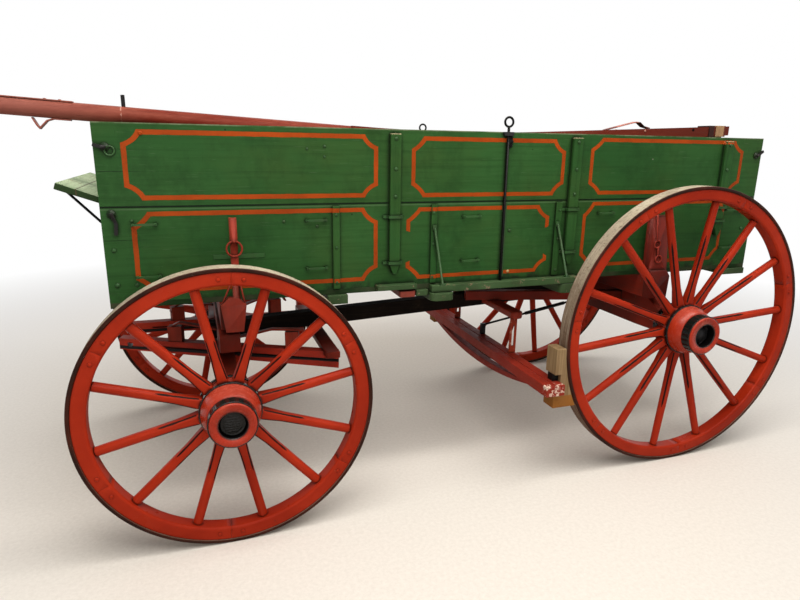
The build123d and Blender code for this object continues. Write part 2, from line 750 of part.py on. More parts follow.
def rod_keeper():
    """A bored iron on the side board's top edge that holds the upright rod."""
    face = BOX_HALF + SEAT_GAP
    top = BOX_TOP
    keeper = block(span(BOX_ROD_X, KEEPER[0]), (face, face + KEEPER[1]), (top - KEEPER[2], top))
    tab_x = BOX_ROD_X - KEEPER[0] / 2 + KEEPER_TAB[0] / 2
    tab_z = (top - KEEPER[2] - KEEPER_TAB[2], top - KEEPER[2])
    keeper += block(span(tab_x, KEEPER_TAB[0] - 4), (face, face + KEEPER_TAB[1]), tab_z)
    return keeper - upright_rod(BOX_ROD_X, BOX_ROD_Y, (SEAM_Z, top + 1), BOX_ROD_R + HOLE_GAP)


def side_brace(head_x, foot_x):
    """A slanting rod from a strip on the side board out to the rail's top."""
    out = BOX_HALF + STRIP_T + SEAT_GAP
    head_z = SEAM_Z - SIDE_BRACE_DROP
    foot_z = RAIL_Z[1] + SEAT_GAP
    foot_y = BOX_HALF + BRACE_FOOT_OUT
    iron = rod(
        (head_x, out + SIDE_BRACE_R, head_z), (foot_x, foot_y, foot_z), SIDE_BRACE_R
    )
    iron += block(span(head_x, BRACE_HEAD[0]), (out, out + BRACE_HEAD[1]), span(head_z, BRACE_HEAD[2]))
    iron += block(
        span(foot_x, BRACE_FOOT[0]), span(foot_y, BRACE_FOOT[1]), (foot_z, foot_z + BRACE_FOOT[2])
    )
    under = block(span(foot_x, BOARD * 4), (BOX_HALF, BOX_HALF + 2 * RAIL_REACH), (FLOOR_Z, foot_z))
    return iron - under


def write_box_irons():
    irons = both_sides(rod_keeper())
    for x, width, _, drops in CLEATS:
        for drop in drops:
            irons += both_sides(cleat_clip(x, SEAM_Z - drop, width))
    for head_x, foot_x in SIDE_BRACES:
        irons += both_sides(side_brace(head_x, foot_x))
    write("box_irons", irons)


def write_rails():
    y = (BOX_HALF, BOX_HALF + RAIL_REACH)
    rail = block((BOX_FRONT - RAIL_SPAN[1], BOX_FRONT - RAIL_SPAN[0]), y, RAIL_Z)
    rod_room = block(
        span(BOX_ROD_X, 2 * BOX_ROD_R + 2 * PIN_GAP),
        (BOX_HALF, BOX_ROD_Y + BOX_ROD_R + SEAT_GAP),
        (RAIL_Z[0] - RAIL_H, RAIL_Z[1] + RAIL_H),
    )
    low = FLOOR_Z + SHORT_RAIL[0]
    short_x = (BOX_FRONT - SHORT_RAIL_SPAN[1], BOX_FRONT - SHORT_RAIL_SPAN[0])
    short_rail = block(short_x, y, (low, low + SHORT_RAIL[1]))
    write("side_rails", both_sides(rail - rod_room) + both_sides(short_rail))


def write_sills():
    """Cross sills under the floor; where a rail passes over the ends, these are lower."""
    sills = []
    for x, width, half, drop, end_drop in SILLS:
        ends = block(span(x, width), (-half, half), (FLOOR_Z - drop, FLOOR_Z - end_drop))
        if end_drop:
            ends = fillet(ends.edges().filter_by(Axis.Z), SILL_ROUND)
        middle = block(span(x, width), (-BOX_HALF, BOX_HALF), (FLOOR_Z - drop, FLOOR_Z))
        sills.append(ends + middle)
    write("cross_sills", sills)


def write_footboard():
    """Sloping footboard on the front gate, with two iron braces under it."""
    slope = FOOT_RISE / FOOT_REACH
    front_z = SEAM_Z + FOOT_ROOT_UP
    gate_face = FRONT_GATE[1]
    root = (gate_face, front_z - GATE_INSET * slope)
    edge = (BOX_FRONT + FOOT_REACH, front_z + FOOT_RISE)
    board = plate(Plane.XZ, [
        root,
        edge,
        (edge[0] - FOOT_EDGE_CUT, edge[1] + FOOT_THICK),
        (root[0], root[1] + FOOT_THICK),
    ], 2 * FOOT_HALF)
    write("footboard", [board])
    brace_y = FOOT_HALF - FOOT_BRACE_IN
    start = (gate_face - FOOT_BRACE_R, brace_y, front_z - FOOT_BRACE_DROP)
    end = (edge[0] - FOOT_BRACE_BACK, brace_y, edge[1])
    behind_gate = block((FRONT_X, gate_face), (-BOX_HALF, BOX_HALF), (FLOOR_Z, BOX_TOP))
    brace = rod(start, end, FOOT_BRACE_R) - board - behind_gate
    write("footboard_braces", both_sides(brace))


# Bolsters and stakes
def write_bolsters():
    rows = [
        # node, X, width, underside, underside at the ends
        ("bolster_front", FRONT_BOLSTER_X, FRONT_BOLSTER_W, FRONT_BOLSTER_Z, BOLSTER_END_UP),
        ("bolster_rear", REAR_BOLSTER_X, REAR_BOLSTER_W, REAR_AXLE_TOP, 0),
    ]
    half = BOLSTER_HALF
    for node, x, width, low, end_up in rows:
        beam = Pos(x, 0, 0) * plate(Plane.YZ, [
            (-half, low + end_up),
            (-half, FLOOR_Z),
            (half, FLOOR_Z),
            (half, low + end_up),
            (half - BOLSTER_SLOPE, low),
            (BOLSTER_SLOPE - half, low),
        ], width)
        if node == "bolster_front":
            beam -= upright_rod(FRONT_X, 0, (low - BOARD, FLOOR_Z - 2), KINGPIN_R)
        write(node, [beam])


def stake_shoe(x, low, foot_w, top_w, stake_w):
    """Tapered iron shoe on a bolster's end, with a pyramid top round the stake."""
    y = (BOLSTER_HALF + SEAT_GAP, BOLSTER_HALF + SEAT_GAP + SHOE_LENGTH)
    plane = Plane.XZ.offset(-sum(y) / 2)
    shoe = plate(plane, [
        (x - foot_w / 2, low),
        (x - top_w / 2, FLOOR_Z),
        (x + top_w / 2, FLOOR_Z),
        (x + foot_w / 2, low),
    ], SHOE_LENGTH)
    base = Plane(origin=(x, sum(y) / 2, FLOOR_Z)) * Rectangle(top_w, SHOE_LENGTH)
    tip_y = BOX_HALF + STAKE_GAP + STAKE_T / 2
    tip_y = max(tip_y, y[0] + STAKE_T / 2)
    tip = Plane(origin=(x, tip_y, FLOOR_Z + SHOE_RISE)) * Rectangle(stake_w, STAKE_T)
    return shoe + loft([base, tip], ruled=True)


def stake_ys():
    return (BOX_HALF + STAKE_GAP, BOX_HALF + STAKE_GAP + STAKE_T)


def write_front_stakes():
    """Slim stakes with a hanging ring."""
    x = FRONT_BOLSTER_X + FRONT_STAKE_SET
    y = stake_ys()
    top = FLOOR_Z + FRONT_STAKE_H
    stake = block(span(x, FRONT_STAKE_W), y, (FLOOR_Z, top))
    ring_r, wire = RING
    ring = Pos(x, y[1] + wire, top - RING_DROP) * Rot(X=90) * Torus(ring_r, wire)
    pin = rod((x, y[1], top - RING_DROP + ring_r), (x, y[1] + 3 * wire, top - RING_DROP + ring_r), 2 * wire)
    shoe = stake_shoe(
        FRONT_BOLSTER_X - 6, FRONT_BOLSTER_Z + BOLSTER_END_UP, 68.0, 98.0, FRONT_STAKE_W + 8
    )
    write("stakes_front", both_sides(stake + ring + pin + shoe))
    stays = []
    for side in (1, -1):
        foot = (FRONT_BOLSTER_X - 6 + side * 44, y[1] + STAY_R + SEAT_GAP, FLOOR_Z)
        head = (x + side * 10, y[1] + STAY_R + SEAT_GAP, FLOOR_Z + STAY_RISE)
        stays += both_sides(rod(foot, head, STAY_R) - shoe)
    write("bolster_stays", stays)


def write_rear_stakes():
    """Broad stakes, each with an eye rod and two rings hanging in front of it."""
    x = REAR_BOLSTER_X
    y = stake_ys()
    top = FLOOR_Z + REAR_STAKE_H
    middle = Plane.XZ.offset(-sum(y) / 2)
    stake = plate(middle, [(x - 60, FLOOR_Z), (x + 70, FLOOR_Z), (x + 73, top), (x - 35, top)], STAKE_T)
    shoe = stake_shoe(x, REAR_AXLE_TOP, 110.0, 124.0, 100.0)
    link = BOX_ROD_R - 1
    face = y[1] + link / 2
    iron = rod((x + 48, face, top + 38), (x + 26, face, top - 124), link)
    iron += Pos(x + 22, face, top - 142) * Rot(X=90) * Torus(18.0, link - 1)
    iron += rod((x + 18, face, top - 160), (x + 10, face, top - 200), link)
    iron += Pos(x + 5, face, top - 218) * Rot(X=90) * Torus(18.0, link - 1)
    write("stakes_rear", both_sides(stake + shoe + iron))


def write_kingpin():
    top = FLOOR_Z - 2
    low = FRONT_WHEEL_R - FRONT_AXLE_DOWN - KINGPIN_FOOT
    pin = upright_rod(FRONT_X, 0, (low, top), KINGPIN_R)
    turn_plate = block(
        span(FRONT_BOLSTER_X, FRONT_BOLSTER_W),
        (-TURN_PLATE_HALF, TURN_PLATE_HALF),
        (FRONT_BOLSTER_Z - TURN_PLATE, FRONT_BOLSTER_Z),
    )
    radius, height = KINGPIN_NUT
    nut = Pos(FRONT_X, 0, low + KINGPIN_R) * extrude(RegularPolygon(radius, 6), height)
    write("kingpin", [pin + turn_plate + nut])


# Running gear
def axle_bed(wheel, down, up, width):
    """Wooden axle between the two skein collars, tapered at its ends."""
    half = HALF_TRACK + HUB_INNER - COLLAR_GAP - COLLAR_LENGTH
    low, high = wheel.r - down, wheel.r + up
    end_low, end_high = wheel.r - AXLE_END[0], wheel.r + AXLE_END[1]
    return Pos(wheel.x, 0, 0) * plate(Plane.YZ, [
        (-half, end_low),
        (AXLE_TAPER[0] - half, low),
        (half - AXLE_TAPER[0], low),
        (half, end_low),
        (half, end_high),
        (half - AXLE_TAPER[1], high),
        (AXLE_TAPER[1] - half, high),
        (-half, end_high),
    ], width)


class HoundLine:
    """The left front hound's course: an upright plane through it and its height there."""

    def __init__(self):
        rear, front = FRONT_HOUND_REAR, FRONT_HOUND_FRONT
        self.across = Vector(front[0] - rear[0], front[1] - rear[1], 0)
        self.run = self.across.length
        normal = Vector(self.across.Y, -self.across.X, 0)
        origin = (FRONT_X + rear[0], rear[1], 0)
        self.plane = Plane(origin=origin, x_dir=self.across, z_dir=normal)

    def along(self, x):
        """Distance along the hound at a distance x ahead of the front axle."""
        return (x - FRONT_HOUND_REAR[0]) * self.run / self.across.X

    def middle(self, x):
        share = (x - FRONT_HOUND_REAR[0]) / self.across.X
        rise = FRONT_HOUND_REAR[2] + (FRONT_HOUND_FRONT[2] - FRONT_HOUND_REAR[2]) * share
        return FRONT_WHEEL_R + rise

    def half_height(self, x):
        share = (x - FRONT_HOUND_REAR[0]) / self.across.X
        return (FRONT_HOUND_REAR[3] + (FRONT_HOUND_FRONT[3] - FRONT_HOUND_REAR[3]) * share) / 2

    def beam(self, x_low, x_high, width, height=None):
        """The hound, or a slice of it of one height, between two places ahead of the axle."""
        points = []
        for x, up in ((x_low, -1), (x_high, -1), (x_high, 1), (x_low, 1)):
            half = self.half_height(x) if height is None else height / 2
            points.append((self.along(x), self.middle(x) + up * half))
        return plate(self.plane, points, width)


def front_hound():
    """Tapered hound with a groove along each side, as two planks bolted together."""
    line = HoundLine()
    rear, front = FRONT_HOUND_REAR[0], FRONT_HOUND_FRONT[0]
    hound = line.beam(rear, front, HOUND_W)
    groove_end = front - HOUND_GROOVE_END
    groove = line.beam(rear, groove_end, 2 * HOUND_W, HOUND_GROOVE)
    groove -= line.beam(rear, groove_end, HOUND_W - 2 * HOUND_GROOVE)
    return hound - groove


def sway_bar():
    low = HoundLine().middle(SWAY_SET) + HoundLine().half_height(SWAY_SET) - SWAY_LET_IN
    x = span(FRONT_X + SWAY_SET, SWAY[0])
    return block(x, (-SWAY_HALF, SWAY_HALF), (low, low + SWAY[1]))


def write_front_braces(sand_board):
    """Iron straps from the sand board to the hounds, fore and aft, each on a block."""
    line = HoundLine()
    base = FRONT_AXLE_TOP
    rows = [
        # strap's points ahead of the axle and above the axle bed; block's middle
        ([(-40, 24), (-149, 49), (-216, 67), (-353, 64), (-366, 39)], -305),
        ([(0, 66), (118, 90), (178, 101), (205, 88), (228, 60)], 196),
    ]
    irons = []
    sand_room = block(
        span(FRONT_X + SAND_BOARD_SET, SAND_BOARD_W + 2 * SEAT_GAP),
        (-SAND_BOARD_HALF, SAND_BOARD_HALF),
        (FRONT_WHEEL_R, FRONT_BOLSTER_Z),
    )
    for points, block_x in rows:
        places = [(line.along(x), base + up) for x, up in points]
        irons += both_sides(strap(line.plane, places, HOUND_STRAP[1], HOUND_STRAP[0]) - sand_room)
        top = base + (points[2][1] + points[3][1]) / 2 - HOUND_STRAP[1]
        low = line.middle(block_x)
        place = line.along(block_x)
        half = HOUND_BLOCK[0] / 2
        column = plate(line.plane, [
            (place - half, low),
            (place + half, low),
            (place + half, top),
            (place - half, top),
        ], HOUND_BLOCK[1])
        column -= line.beam(FRONT_HOUND_REAR[0], FRONT_HOUND_FRONT[0], 2 * HOUND_W)
        irons += both_sides(column)
    return irons


def write_front_gear():
    wheel = WHEELS[0]
    bed_top = FRONT_AXLE_TOP
    slot = block(
        span(FRONT_X, 2 * REACH_SLOT[0]),
        (-REACH_SLOT[1], REACH_SLOT[1]),
        (bed_top + REACH_SLOT_Z[0], bed_top + REACH_SLOT_Z[1]),
    )
    pin_hole = upright_rod(FRONT_X, 0, (bed_top - 300, bed_top + 300), KINGPIN_R + PIN_GAP)
    hounds = both_sides(front_hound())
    rooms = both_sides(HoundLine().beam(FRONT_HOUND_REAR[0], FRONT_HOUND_FRONT[0], HOUND_W))
    axle = axle_bed(wheel, FRONT_AXLE_DOWN, FRONT_AXLE_UP, AXLE_W)
    write("axle_front", [axle - slot - pin_hole - rooms])
    half = SAND_BOARD_HALF
    board = Pos(FRONT_X + SAND_BOARD_SET, 0, 0) * plate(Plane.YZ, [
        (-half, bed_top + SAND_BOARD_END_UP),
        (-half, FRONT_BOLSTER_Z - TURN_PLATE - TURN_GAP),
        (half, FRONT_BOLSTER_Z - TURN_PLATE - TURN_GAP),
        (half, bed_top + SAND_BOARD_END_UP),
        (half - SAND_BOARD_SLOPE, bed_top),
        (SAND_BOARD_SLOPE - half, bed_top),
    ], SAND_BOARD_W)
    board = board - slot - pin_hole - rooms
    write("sand_board", [board])
    sway = sway_bar()
    pin_z = HoundLine().middle(TONGUE_PIN_X)
    bore = cross_rod(FRONT_X + TONGUE_PIN_X, pin_z, BOX_HALF, TONGUE_PIN_R)
    write("hounds_front", [hound - sway - bore for hound in hounds])
    write("sway_bar", [sway])
    write("front_braces", write_front_braces(board))


def make_reach():
    """The long pole from the kingpin back through the rear axle."""
    start = (FRONT_X + REACH_AHEAD, 0, FRONT_AXLE_TOP + REACH_FRONT_UP)
    end = (REAR_X - REACH_BEHIND, 0, REAR_WHEEL_R + REACH_REAR_UP)
    reach = bar(start, end, REACH_W, REACH_DEPTH)
    z = span(start[2], 4 * REACH_DEPTH)
    return reach - upright_rod(FRONT_X, 0, z, KINGPIN_R)


def rear_hounds():
    z = REAR_HOUND_Z + REAR_HOUND_H / 2
    start = (REAR_X + REAR_HOUND_FRONT[0], REAR_HOUND_FRONT[1], z)
    end = (REAR_X + REAR_HOUND_REAR[0], REAR_HOUND_REAR[1], z)
    return both_sides(bar(start, end, HOUND_W, REAR_HOUND_H))


def write_rear_gear():
    reach = make_reach()
    write("reach", [reach])
    hounds = rear_hounds()
    axle = axle_bed(WHEELS[1], REAR_AXLE_DOWN, REAR_AXLE_UP, REAR_AXLE_W) - reach
    write("axle_rear", [axle - hounds])
    write("hounds_rear", hounds)


# Brake
def write_brake_beam():
    """Beam of two planks, grooved where they meet, with a bow sprung under it."""
    x = BRAKE_X
    beam = block(span(x, BRAKE_BEAM[0]), (-BRAKE_HALF, BRAKE_HALF), (BRAKE_LOW, BRAKE_TOP))
    width, depth = BRAKE_GROOVE
    beam -= block(span(x, width), (-BRAKE_HALF, BRAKE_HALF), (BRAKE_TOP - depth, BRAKE_TOP))
    half = BRAKE_HALF - BRAKE_BOW_IN
    inner = half - BRAKE_BOW_FOOT
    peak = BRAKE_LOW - BRAKE_BOW_DROP
    bow_face = turned_face([
        ThreePointArc((-half, BRAKE_LOW), (0, peak), (half, BRAKE_LOW)),
        Line((half, BRAKE_LOW), (inner, BRAKE_LOW)),
        ThreePointArc((inner, BRAKE_LOW), (0, peak + BRAKE_BOW_T), (-inner, BRAKE_LOW)),
        Line((-inner, BRAKE_LOW), (-half, BRAKE_LOW)),
    ])
    bow = extrude(Plane.YZ * bow_face, BRAKE_BOW_W / 2, both=True)
    write("brake_beam", [beam + Pos(x, 0, 0) * bow])


def write_brake_blocks():
    """Wooden shoes behind the beam, cut to the tyre's curve and notched round the beam."""
    front = TIRE_FRONT + BRAKE_BLOCK_AHEAD
    blank = block(
        (front - BRAKE_BLOCK[0], front),
        span(HALF_TRACK, BRAKE_BLOCK[1]),
        (BRAKE_Z + BRAKE_BLOCK_Z[0], BRAKE_Z + BRAKE_BLOCK_Z[1]),
    )
    tire_room = cross_rod(REAR_X, REAR_WHEEL_R, 2 * HALF_TRACK, REAR_WHEEL_R + BRAKE_BLOCK_GAP)
    back = BRAKE_X - BRAKE_BEAM[0] / 2
    notch = block((back, front), (0, TRACK), (BRAKE_LOW, BRAKE_TOP + BRAKE_IRON[1]))
    write("brake_blocks", both_sides(blank - tire_room - notch))
    plate_z = (BRAKE_TOP, BRAKE_TOP + BRAKE_IRON[1])
    plate_iron = block((back, front), span(HALF_TRACK, BRAKE_IRON[0]), plate_z)
    return both_sides(plate_iron)


def write_brake_hanging():
    """Round-ended bar under the rear hounds and the slotted hangers that carry the beam."""
    x = span(BRAKE_BAR_X, BRAKE_BAR[0])
    half = BRAKE_BAR_HALF
    hanger_bar = block(x, (-half, half), (BRAKE_BAR_LOW, REAR_HOUND_Z))
    hanger_bar = fillet(hanger_bar.edges().filter_by(Axis.Z), BRAKE_BAR_ROUND)
    write("brake_hanger_bar", [hanger_bar - make_reach()])
    y = span(half - HANGER_IN, HANGER[1])
    hanger = block(span(BRAKE_BAR_X, HANGER[0]), y, (BRAKE_TOP, BRAKE_BAR_LOW))
    width, margin = HANGER_SLOT
    hanger -= block(span(BRAKE_BAR_X, width), (0, half), (BRAKE_TOP + margin, BRAKE_BAR_LOW - margin))
    write("brake_hangers", both_sides(hanger))


def write_brake_rod(plates):
    """Rod from a lug on the beam back to the rear axle, and the shoes' iron plates."""
    lug_x = BRAKE_X - BRAKE_BEAM[0] / 2 + BRAKE_LUG[0] / 2
    lug = block(span(lug_x, BRAKE_LUG[0]), span(0, BRAKE_LUG[1]), (BRAKE_TOP, BRAKE_TOP + BRAKE_LUG[2]))
    start = Vector(lug_x, 0, BRAKE_TOP + BRAKE_LUG[2] - BRAKE_LUG[1] / 2)
    end = Vector(REAR_X + REAR_AXLE_W / 2, 0, REAR_WHEEL_R - BRAKE_ROD_END_DOWN)
    iron = lug + rod(start, end, BRAKE_ROD_R)
    thick = [start + (end - start) * share for share in BRAKE_ROD_THICK]
    iron += rod(thick[0], thick[1], BRAKE_ROD_THICK_R)
    axle = block(span(REAR_X, REAR_AXLE_W), (-BOARD, BOARD), (0, REAR_AXLE_TOP))
    write("brake_rod", [iron - axle] + plates)


# Tongue
def tongue_slope_z(x):
    """The tongue's middle height at a place along it."""
    front_x = BOX_FRONT - TONGUE_BOW[0]
    rear_x = BOX_REAR + TONGUE_BOW[1]
    slope = math.tan(TONGUE_SLOPE)
    rest_x = FRONT_GATE[0]
    rest_z = BOX_TOP + SEAT_GAP + tongue_r(rest_x) / math.cos(TONGUE_SLOPE)
    bow_z = rest_z - (rest_x - front_x) * slope
    if x >= front_x:
        return bow_z + (x - front_x) * slope
    if x <= rear_x:
        return bow_z + (rear_x - x) * slope
    return bow_z


def tongue_r(x):
    """The round front part's radius at a place along it."""
    front_x = BOX_FRONT - TONGUE_BOW[0]
    tip_x = BOX_FRONT + TONGUE_AHEAD
    return TONGUE_R_BUTT + (TONGUE_R_TIP - TONGUE_R_BUTT) * (x - front_x) / (tip_x - front_x)


def butt_half_h(x):
    """Half the flat rear part's height at a place along it."""
    rear_x = BOX_REAR + TONGUE_BOW[1]
    share = (rear_x - x) / (rear_x - BOX_REAR)
    return TONGUE_R_BUTT + (TONGUE_BUTT_H / 2 - TONGUE_R_BUTT) * share


def make_tongue():
    """Pole that lies on both end gates, round in front and squared behind."""
    front_x = BOX_FRONT - TONGUE_BOW[0]
    rear_x = BOX_REAR + TONGUE_BOW[1]
    bow_z = tongue_slope_z(front_x)
    butt_z = tongue_slope_z(BOX_REAR)
    sag_r = (front_x - rear_x) / 2 / math.sin(TONGUE_SLOPE)
    mid_x = (front_x + rear_x) / 2
    mid_z = bow_z - sag_r * (1 - math.cos(TONGUE_SLOPE))
    half_b = TONGUE_BUTT_H / 2
    r = TONGUE_R_BUTT
    outline = turned_face([
        Line((BOX_REAR, butt_z + half_b), (rear_x, bow_z + r)),
        ThreePointArc((rear_x, bow_z + r), (mid_x, mid_z + r), (front_x, bow_z + r)),
        Line((front_x, bow_z + r), (front_x, bow_z - r)),
        ThreePointArc((front_x, bow_z - r), (mid_x, mid_z - r), (rear_x, bow_z - r)),
        Line((rear_x, bow_z - r), (BOX_REAR, butt_z - half_b)),
        Line((BOX_REAR, butt_z - half_b), (BOX_REAR, butt_z + half_b)),
    ])
    rear_part = extrude(Plane.XZ * outline, r, both=True)
    tip_x = BOX_FRONT + TONGUE_AHEAD
    start = Vector(front_x, 0, bow_z)
    axis = Vector(tip_x, 0, tongue_slope_z(tip_x)) - start
    cone = Plane(origin=start, z_dir=axis) * Cone(
        r, TONGUE_R_TIP, axis.length, align=(Align.CENTER, Align.CENTER, Align.MIN)
    )
    return Pos(0, TONGUE_Y, 0) * (rear_part + cone)


def tongue_band(x, length, thick, tongue):
    """A band round the squared rear part."""
    half_h = butt_half_h(x) + thick
    z = tongue_slope_z(x)
    room = block(span(x, length), span(TONGUE_Y, 2 * TONGUE_R_BUTT + 2 * thick), (z - half_h, z + half_h))
    return room - tongue


def tongue_foot(x, length, tongue):
    """A block under the butt, down to the rear gate's top."""
    z = (BOX_TOP + SEAT_GAP, tongue_slope_z(x))
    return block(span(x, length), span(TONGUE_Y, TONGUE_FOOT_W), z) - tongue


def tongue_irons(tongue):
    """Straps, loop and bands on the tongue."""
    plane = Plane.XZ.offset(-TONGUE_Y)
    width, thick = TONGUE_STRAP_W, TONGUE_STRAP_T
    rows = [
        # an end of the box; places ahead of it, rise of the strap's middle over the tongue's axis
        (BOX_FRONT, [(85, 34), (TOP_STRAP_LENGTH + 70, 34)]),
        (BOX_FRONT, [(98, -34), (158, -34), (179, -42), (206, -72), (214, -62), (228, -34)]),
        (BOX_REAR, [(795, 33), (775, 37), (653, 59), (610, 66), (587, 62), (560, 42), (522, 32)]),
    ]
    irons = []
    for end_x, points in rows:
        places = []
        for along, rise in points:
            x = end_x + along
            places.append((x, tongue_slope_z(x) + rise))
        irons.append(strap(plane, places, thick, width) - tongue)
    return irons


def write_tongue():
    tongue = make_tongue()
    back, pin_r, rise = STORE_PIN
    pin_x = BOX_FRONT - back
    pin_top = tongue_slope_z(pin_x) + tongue_r(pin_x) + rise
    pin = upright_rod(pin_x, TONGUE_Y, (BOX_TOP - BOARD, pin_top), pin_r)
    hole = upright_rod(pin_x, TONGUE_Y, (SEAM_Z, pin_top), pin_r + SEAT_GAP)
    pole = tongue - hole
    write("tongue", [pole])
    bands = [
        tongue_band(BOX_REAR + 127, 34, TONGUE_BAND_T + 2, pole)
        + tongue_foot(BOX_REAR + 125, 55, pole),
        tongue_band(BOX_REAR + 62, 66, TONGUE_BAND_T, pole)
        + tongue_foot(BOX_REAR + 60, 51, pole),
    ]
    write("tongue_irons", bands + tongue_irons(pole) + [pin])


def main():
    os.makedirs("parts", exist_ok=True)
    write_wheels()
    write_floor()
    write_sides()
    write_cleats()
    write_gates()
    write_gate_guides()
    write_gate_irons()
    write_staples()
    write_box_rods()
    write_box_irons()
    write_rails()
    write_sills()
    write_footboard()
    write_bolsters()
    write_front_stakes()
    write_rear_stakes()
    write_kingpin()
    write_front_gear()
    write_rear_gear()
    write_brake_beam()
    plates = write_brake_blocks()
    write_brake_hanging()
    write_brake_rod(plates)
    write_tongue()


main()
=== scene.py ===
from collections import namedtuple
import bmesh
import bpy
import json
import math
import random
from mathutils import Matrix, Vector, noise
from mathutils.bvhtree import BVHTree

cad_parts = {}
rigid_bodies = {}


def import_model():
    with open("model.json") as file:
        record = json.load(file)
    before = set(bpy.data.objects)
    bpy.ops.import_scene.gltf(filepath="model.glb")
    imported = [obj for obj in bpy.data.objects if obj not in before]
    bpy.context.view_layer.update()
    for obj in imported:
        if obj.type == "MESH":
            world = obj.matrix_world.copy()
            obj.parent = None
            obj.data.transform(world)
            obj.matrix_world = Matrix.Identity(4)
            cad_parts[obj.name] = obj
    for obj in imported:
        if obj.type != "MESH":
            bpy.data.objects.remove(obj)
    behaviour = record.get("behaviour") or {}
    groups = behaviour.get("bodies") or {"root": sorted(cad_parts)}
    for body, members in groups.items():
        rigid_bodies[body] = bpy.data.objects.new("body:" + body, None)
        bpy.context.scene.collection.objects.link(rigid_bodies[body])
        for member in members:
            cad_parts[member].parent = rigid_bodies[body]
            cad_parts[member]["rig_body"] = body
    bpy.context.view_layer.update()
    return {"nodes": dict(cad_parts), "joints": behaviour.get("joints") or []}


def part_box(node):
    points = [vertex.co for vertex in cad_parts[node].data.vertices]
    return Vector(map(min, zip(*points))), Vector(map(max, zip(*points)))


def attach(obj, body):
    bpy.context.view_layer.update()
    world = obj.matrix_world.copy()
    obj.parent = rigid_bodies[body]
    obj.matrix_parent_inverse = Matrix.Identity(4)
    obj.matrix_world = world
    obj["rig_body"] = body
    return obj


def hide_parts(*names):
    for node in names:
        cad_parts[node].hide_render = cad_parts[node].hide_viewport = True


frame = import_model()
random.seed(12)

# Places taken from the frame
JOINTS = {joint["name"]: Vector(joint["pos_m"]) for joint in frame["joints"]}
FRONT_X = JOINTS["steering"].x
HALF_TRACK = JOINTS["spin_front_left"].y
WHEEL_Z = JOINTS["spin_front_left"].z
BOX_LOW, BOX_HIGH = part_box("side_upper_left")
BOX_FRONT = BOX_HIGH.x
BOX_REAR = BOX_LOW.x
BOX_HALF = BOX_HIGH.y
BOX_TOP = BOX_HIGH.z
SEAM_Z = BOX_LOW.z
FLOOR_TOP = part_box("side_lower_left")[0].z
TYRE_HALF = (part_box("tire_front_left")[1].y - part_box("tire_front_left")[0].y) / 2
TONGUE_Y = (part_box("tongue")[0].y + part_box("tongue")[1].y) / 2
BEAM_Z = (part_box("brake_beam")[0].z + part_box("brake_beam")[1].z) / 2

# Camera, solved from the photograph
CAMERA_AHEAD = 0.0811  # of the front axle
CAMERA_Y = 2.9001
CAMERA_Z = 1.5453
CAMERA_YAW = 0.337054
CAMERA_PITCH = -0.254629
CAMERA_ROLL = 0.015699
FOCAL_PX = 588.83
IMAGE_W = 800
SENSOR_W = 36.0

# Paint colours, linear
GREEN = (0.014, 0.056, 0.013)
GREEN_LIGHT = (0.023, 0.076, 0.019)
GREEN_DARK = (0.006, 0.022, 0.005)
GREEN_OLIVE = (0.030, 0.056, 0.012)
GREEN_WORN = (0.100, 0.160, 0.085)
STRIPE = (0.28, 0.043, 0.004)
WHEEL_RED = (0.34, 0.024, 0.007)
WHEEL_RED_DEEP = (0.23, 0.014, 0.004)
GEAR_RED = (0.22, 0.018, 0.008)
GEAR_RED_DEEP = (0.08, 0.008, 0.004)
TONGUE_RED = (0.13, 0.015, 0.007)
TONGUE_PALE = (0.21, 0.050, 0.030)
BLACK = (0.010, 0.010, 0.011)
BARE_WOOD = (0.20, 0.13, 0.075)
# pale dust that also stands for painted light on the tread's top
TREAD_DUST_AND_LIGHT = (0.40, 0.36, 0.270)
DIRT = (0.030, 0.020, 0.013)
# painted shade, with some grime, laid where surfaces come close
CREVICE_SHADE = (0.004, 0.005, 0.003)

# Edges of the pieces
WELD = 1e-5  # points closer than this are joined
FLAT_ANGLE = math.radians(0.4)  # faces this close to one plane are joined
EDGE_ANGLE = math.radians(32)  # edges sharper than this are rounded

# Details on the box, placed from the front axle along the wagon and by height
PAINT_LIFT = 0.0004
STRIPE_W = 0.0175
STRIPE_STEP = 0.004  # between rows of points along a stripe
CORNER_STEPS = 6
PANELS = [
    # front, rear, low, high, corner cut along and up, front corners, rear corners, gap in the ends
    (0.315, -0.650, 1.339, 1.592, 0.056, 0.048, "notch", "notch", None),
    (-0.798, -1.552, 1.337, 1.589, 0.054, 0.052, "bevel", "notch", None),
    (-1.690, -2.625, 1.338, 1.600, 0.060, 0.050, "bevel", "notch", None),
    (0.306, -0.650, 0.984, 1.297, 0.060, 0.056, "bevel", "notch", None),
    (-0.779, -1.489, 0.979, 1.294, 0.056, 0.052, "bevel", "notch", (1.058, 1.191)),
    (-1.677, -2.551, 0.987, 1.304, 0.050, 0.060, "bevel", "bevel", None),
]
BOARD_JOINTS = (1.443, 1.192)  # heights of the joints within the upper and lower side boards
BOARD_BOLTS = [
    # place, height, radius of each round head
    (0.372, 1.289, 0.007), (0.372, 1.156, 0.008), (0.372, 1.023, 0.009), (0.305, 1.021, 0.007),
    (0.302, 1.264, 0.006), (-0.256, 1.248, 0.006), (-0.391, 1.225, 0.006),
    (-0.356, 1.532, 0.005), (-0.427, 1.542, 0.006), (-0.426, 1.502, 0.005), (-1.283, 1.181, 0.008),
    (-2.690, 1.150, 0.008), (-2.690, 1.020, 0.008), (-2.660, 1.300, 0.007),
]
CLEAT_BOLTS = [(x, z, 0.0075) for x in (-0.722, -1.605, -2.511) for z in (1.578, 1.456, 1.343)]
STRIP_BOLTS = [(x, z, 0.006) for x in (-0.469, -0.902, -1.539) for z in (1.270, 1.135, 0.985)]
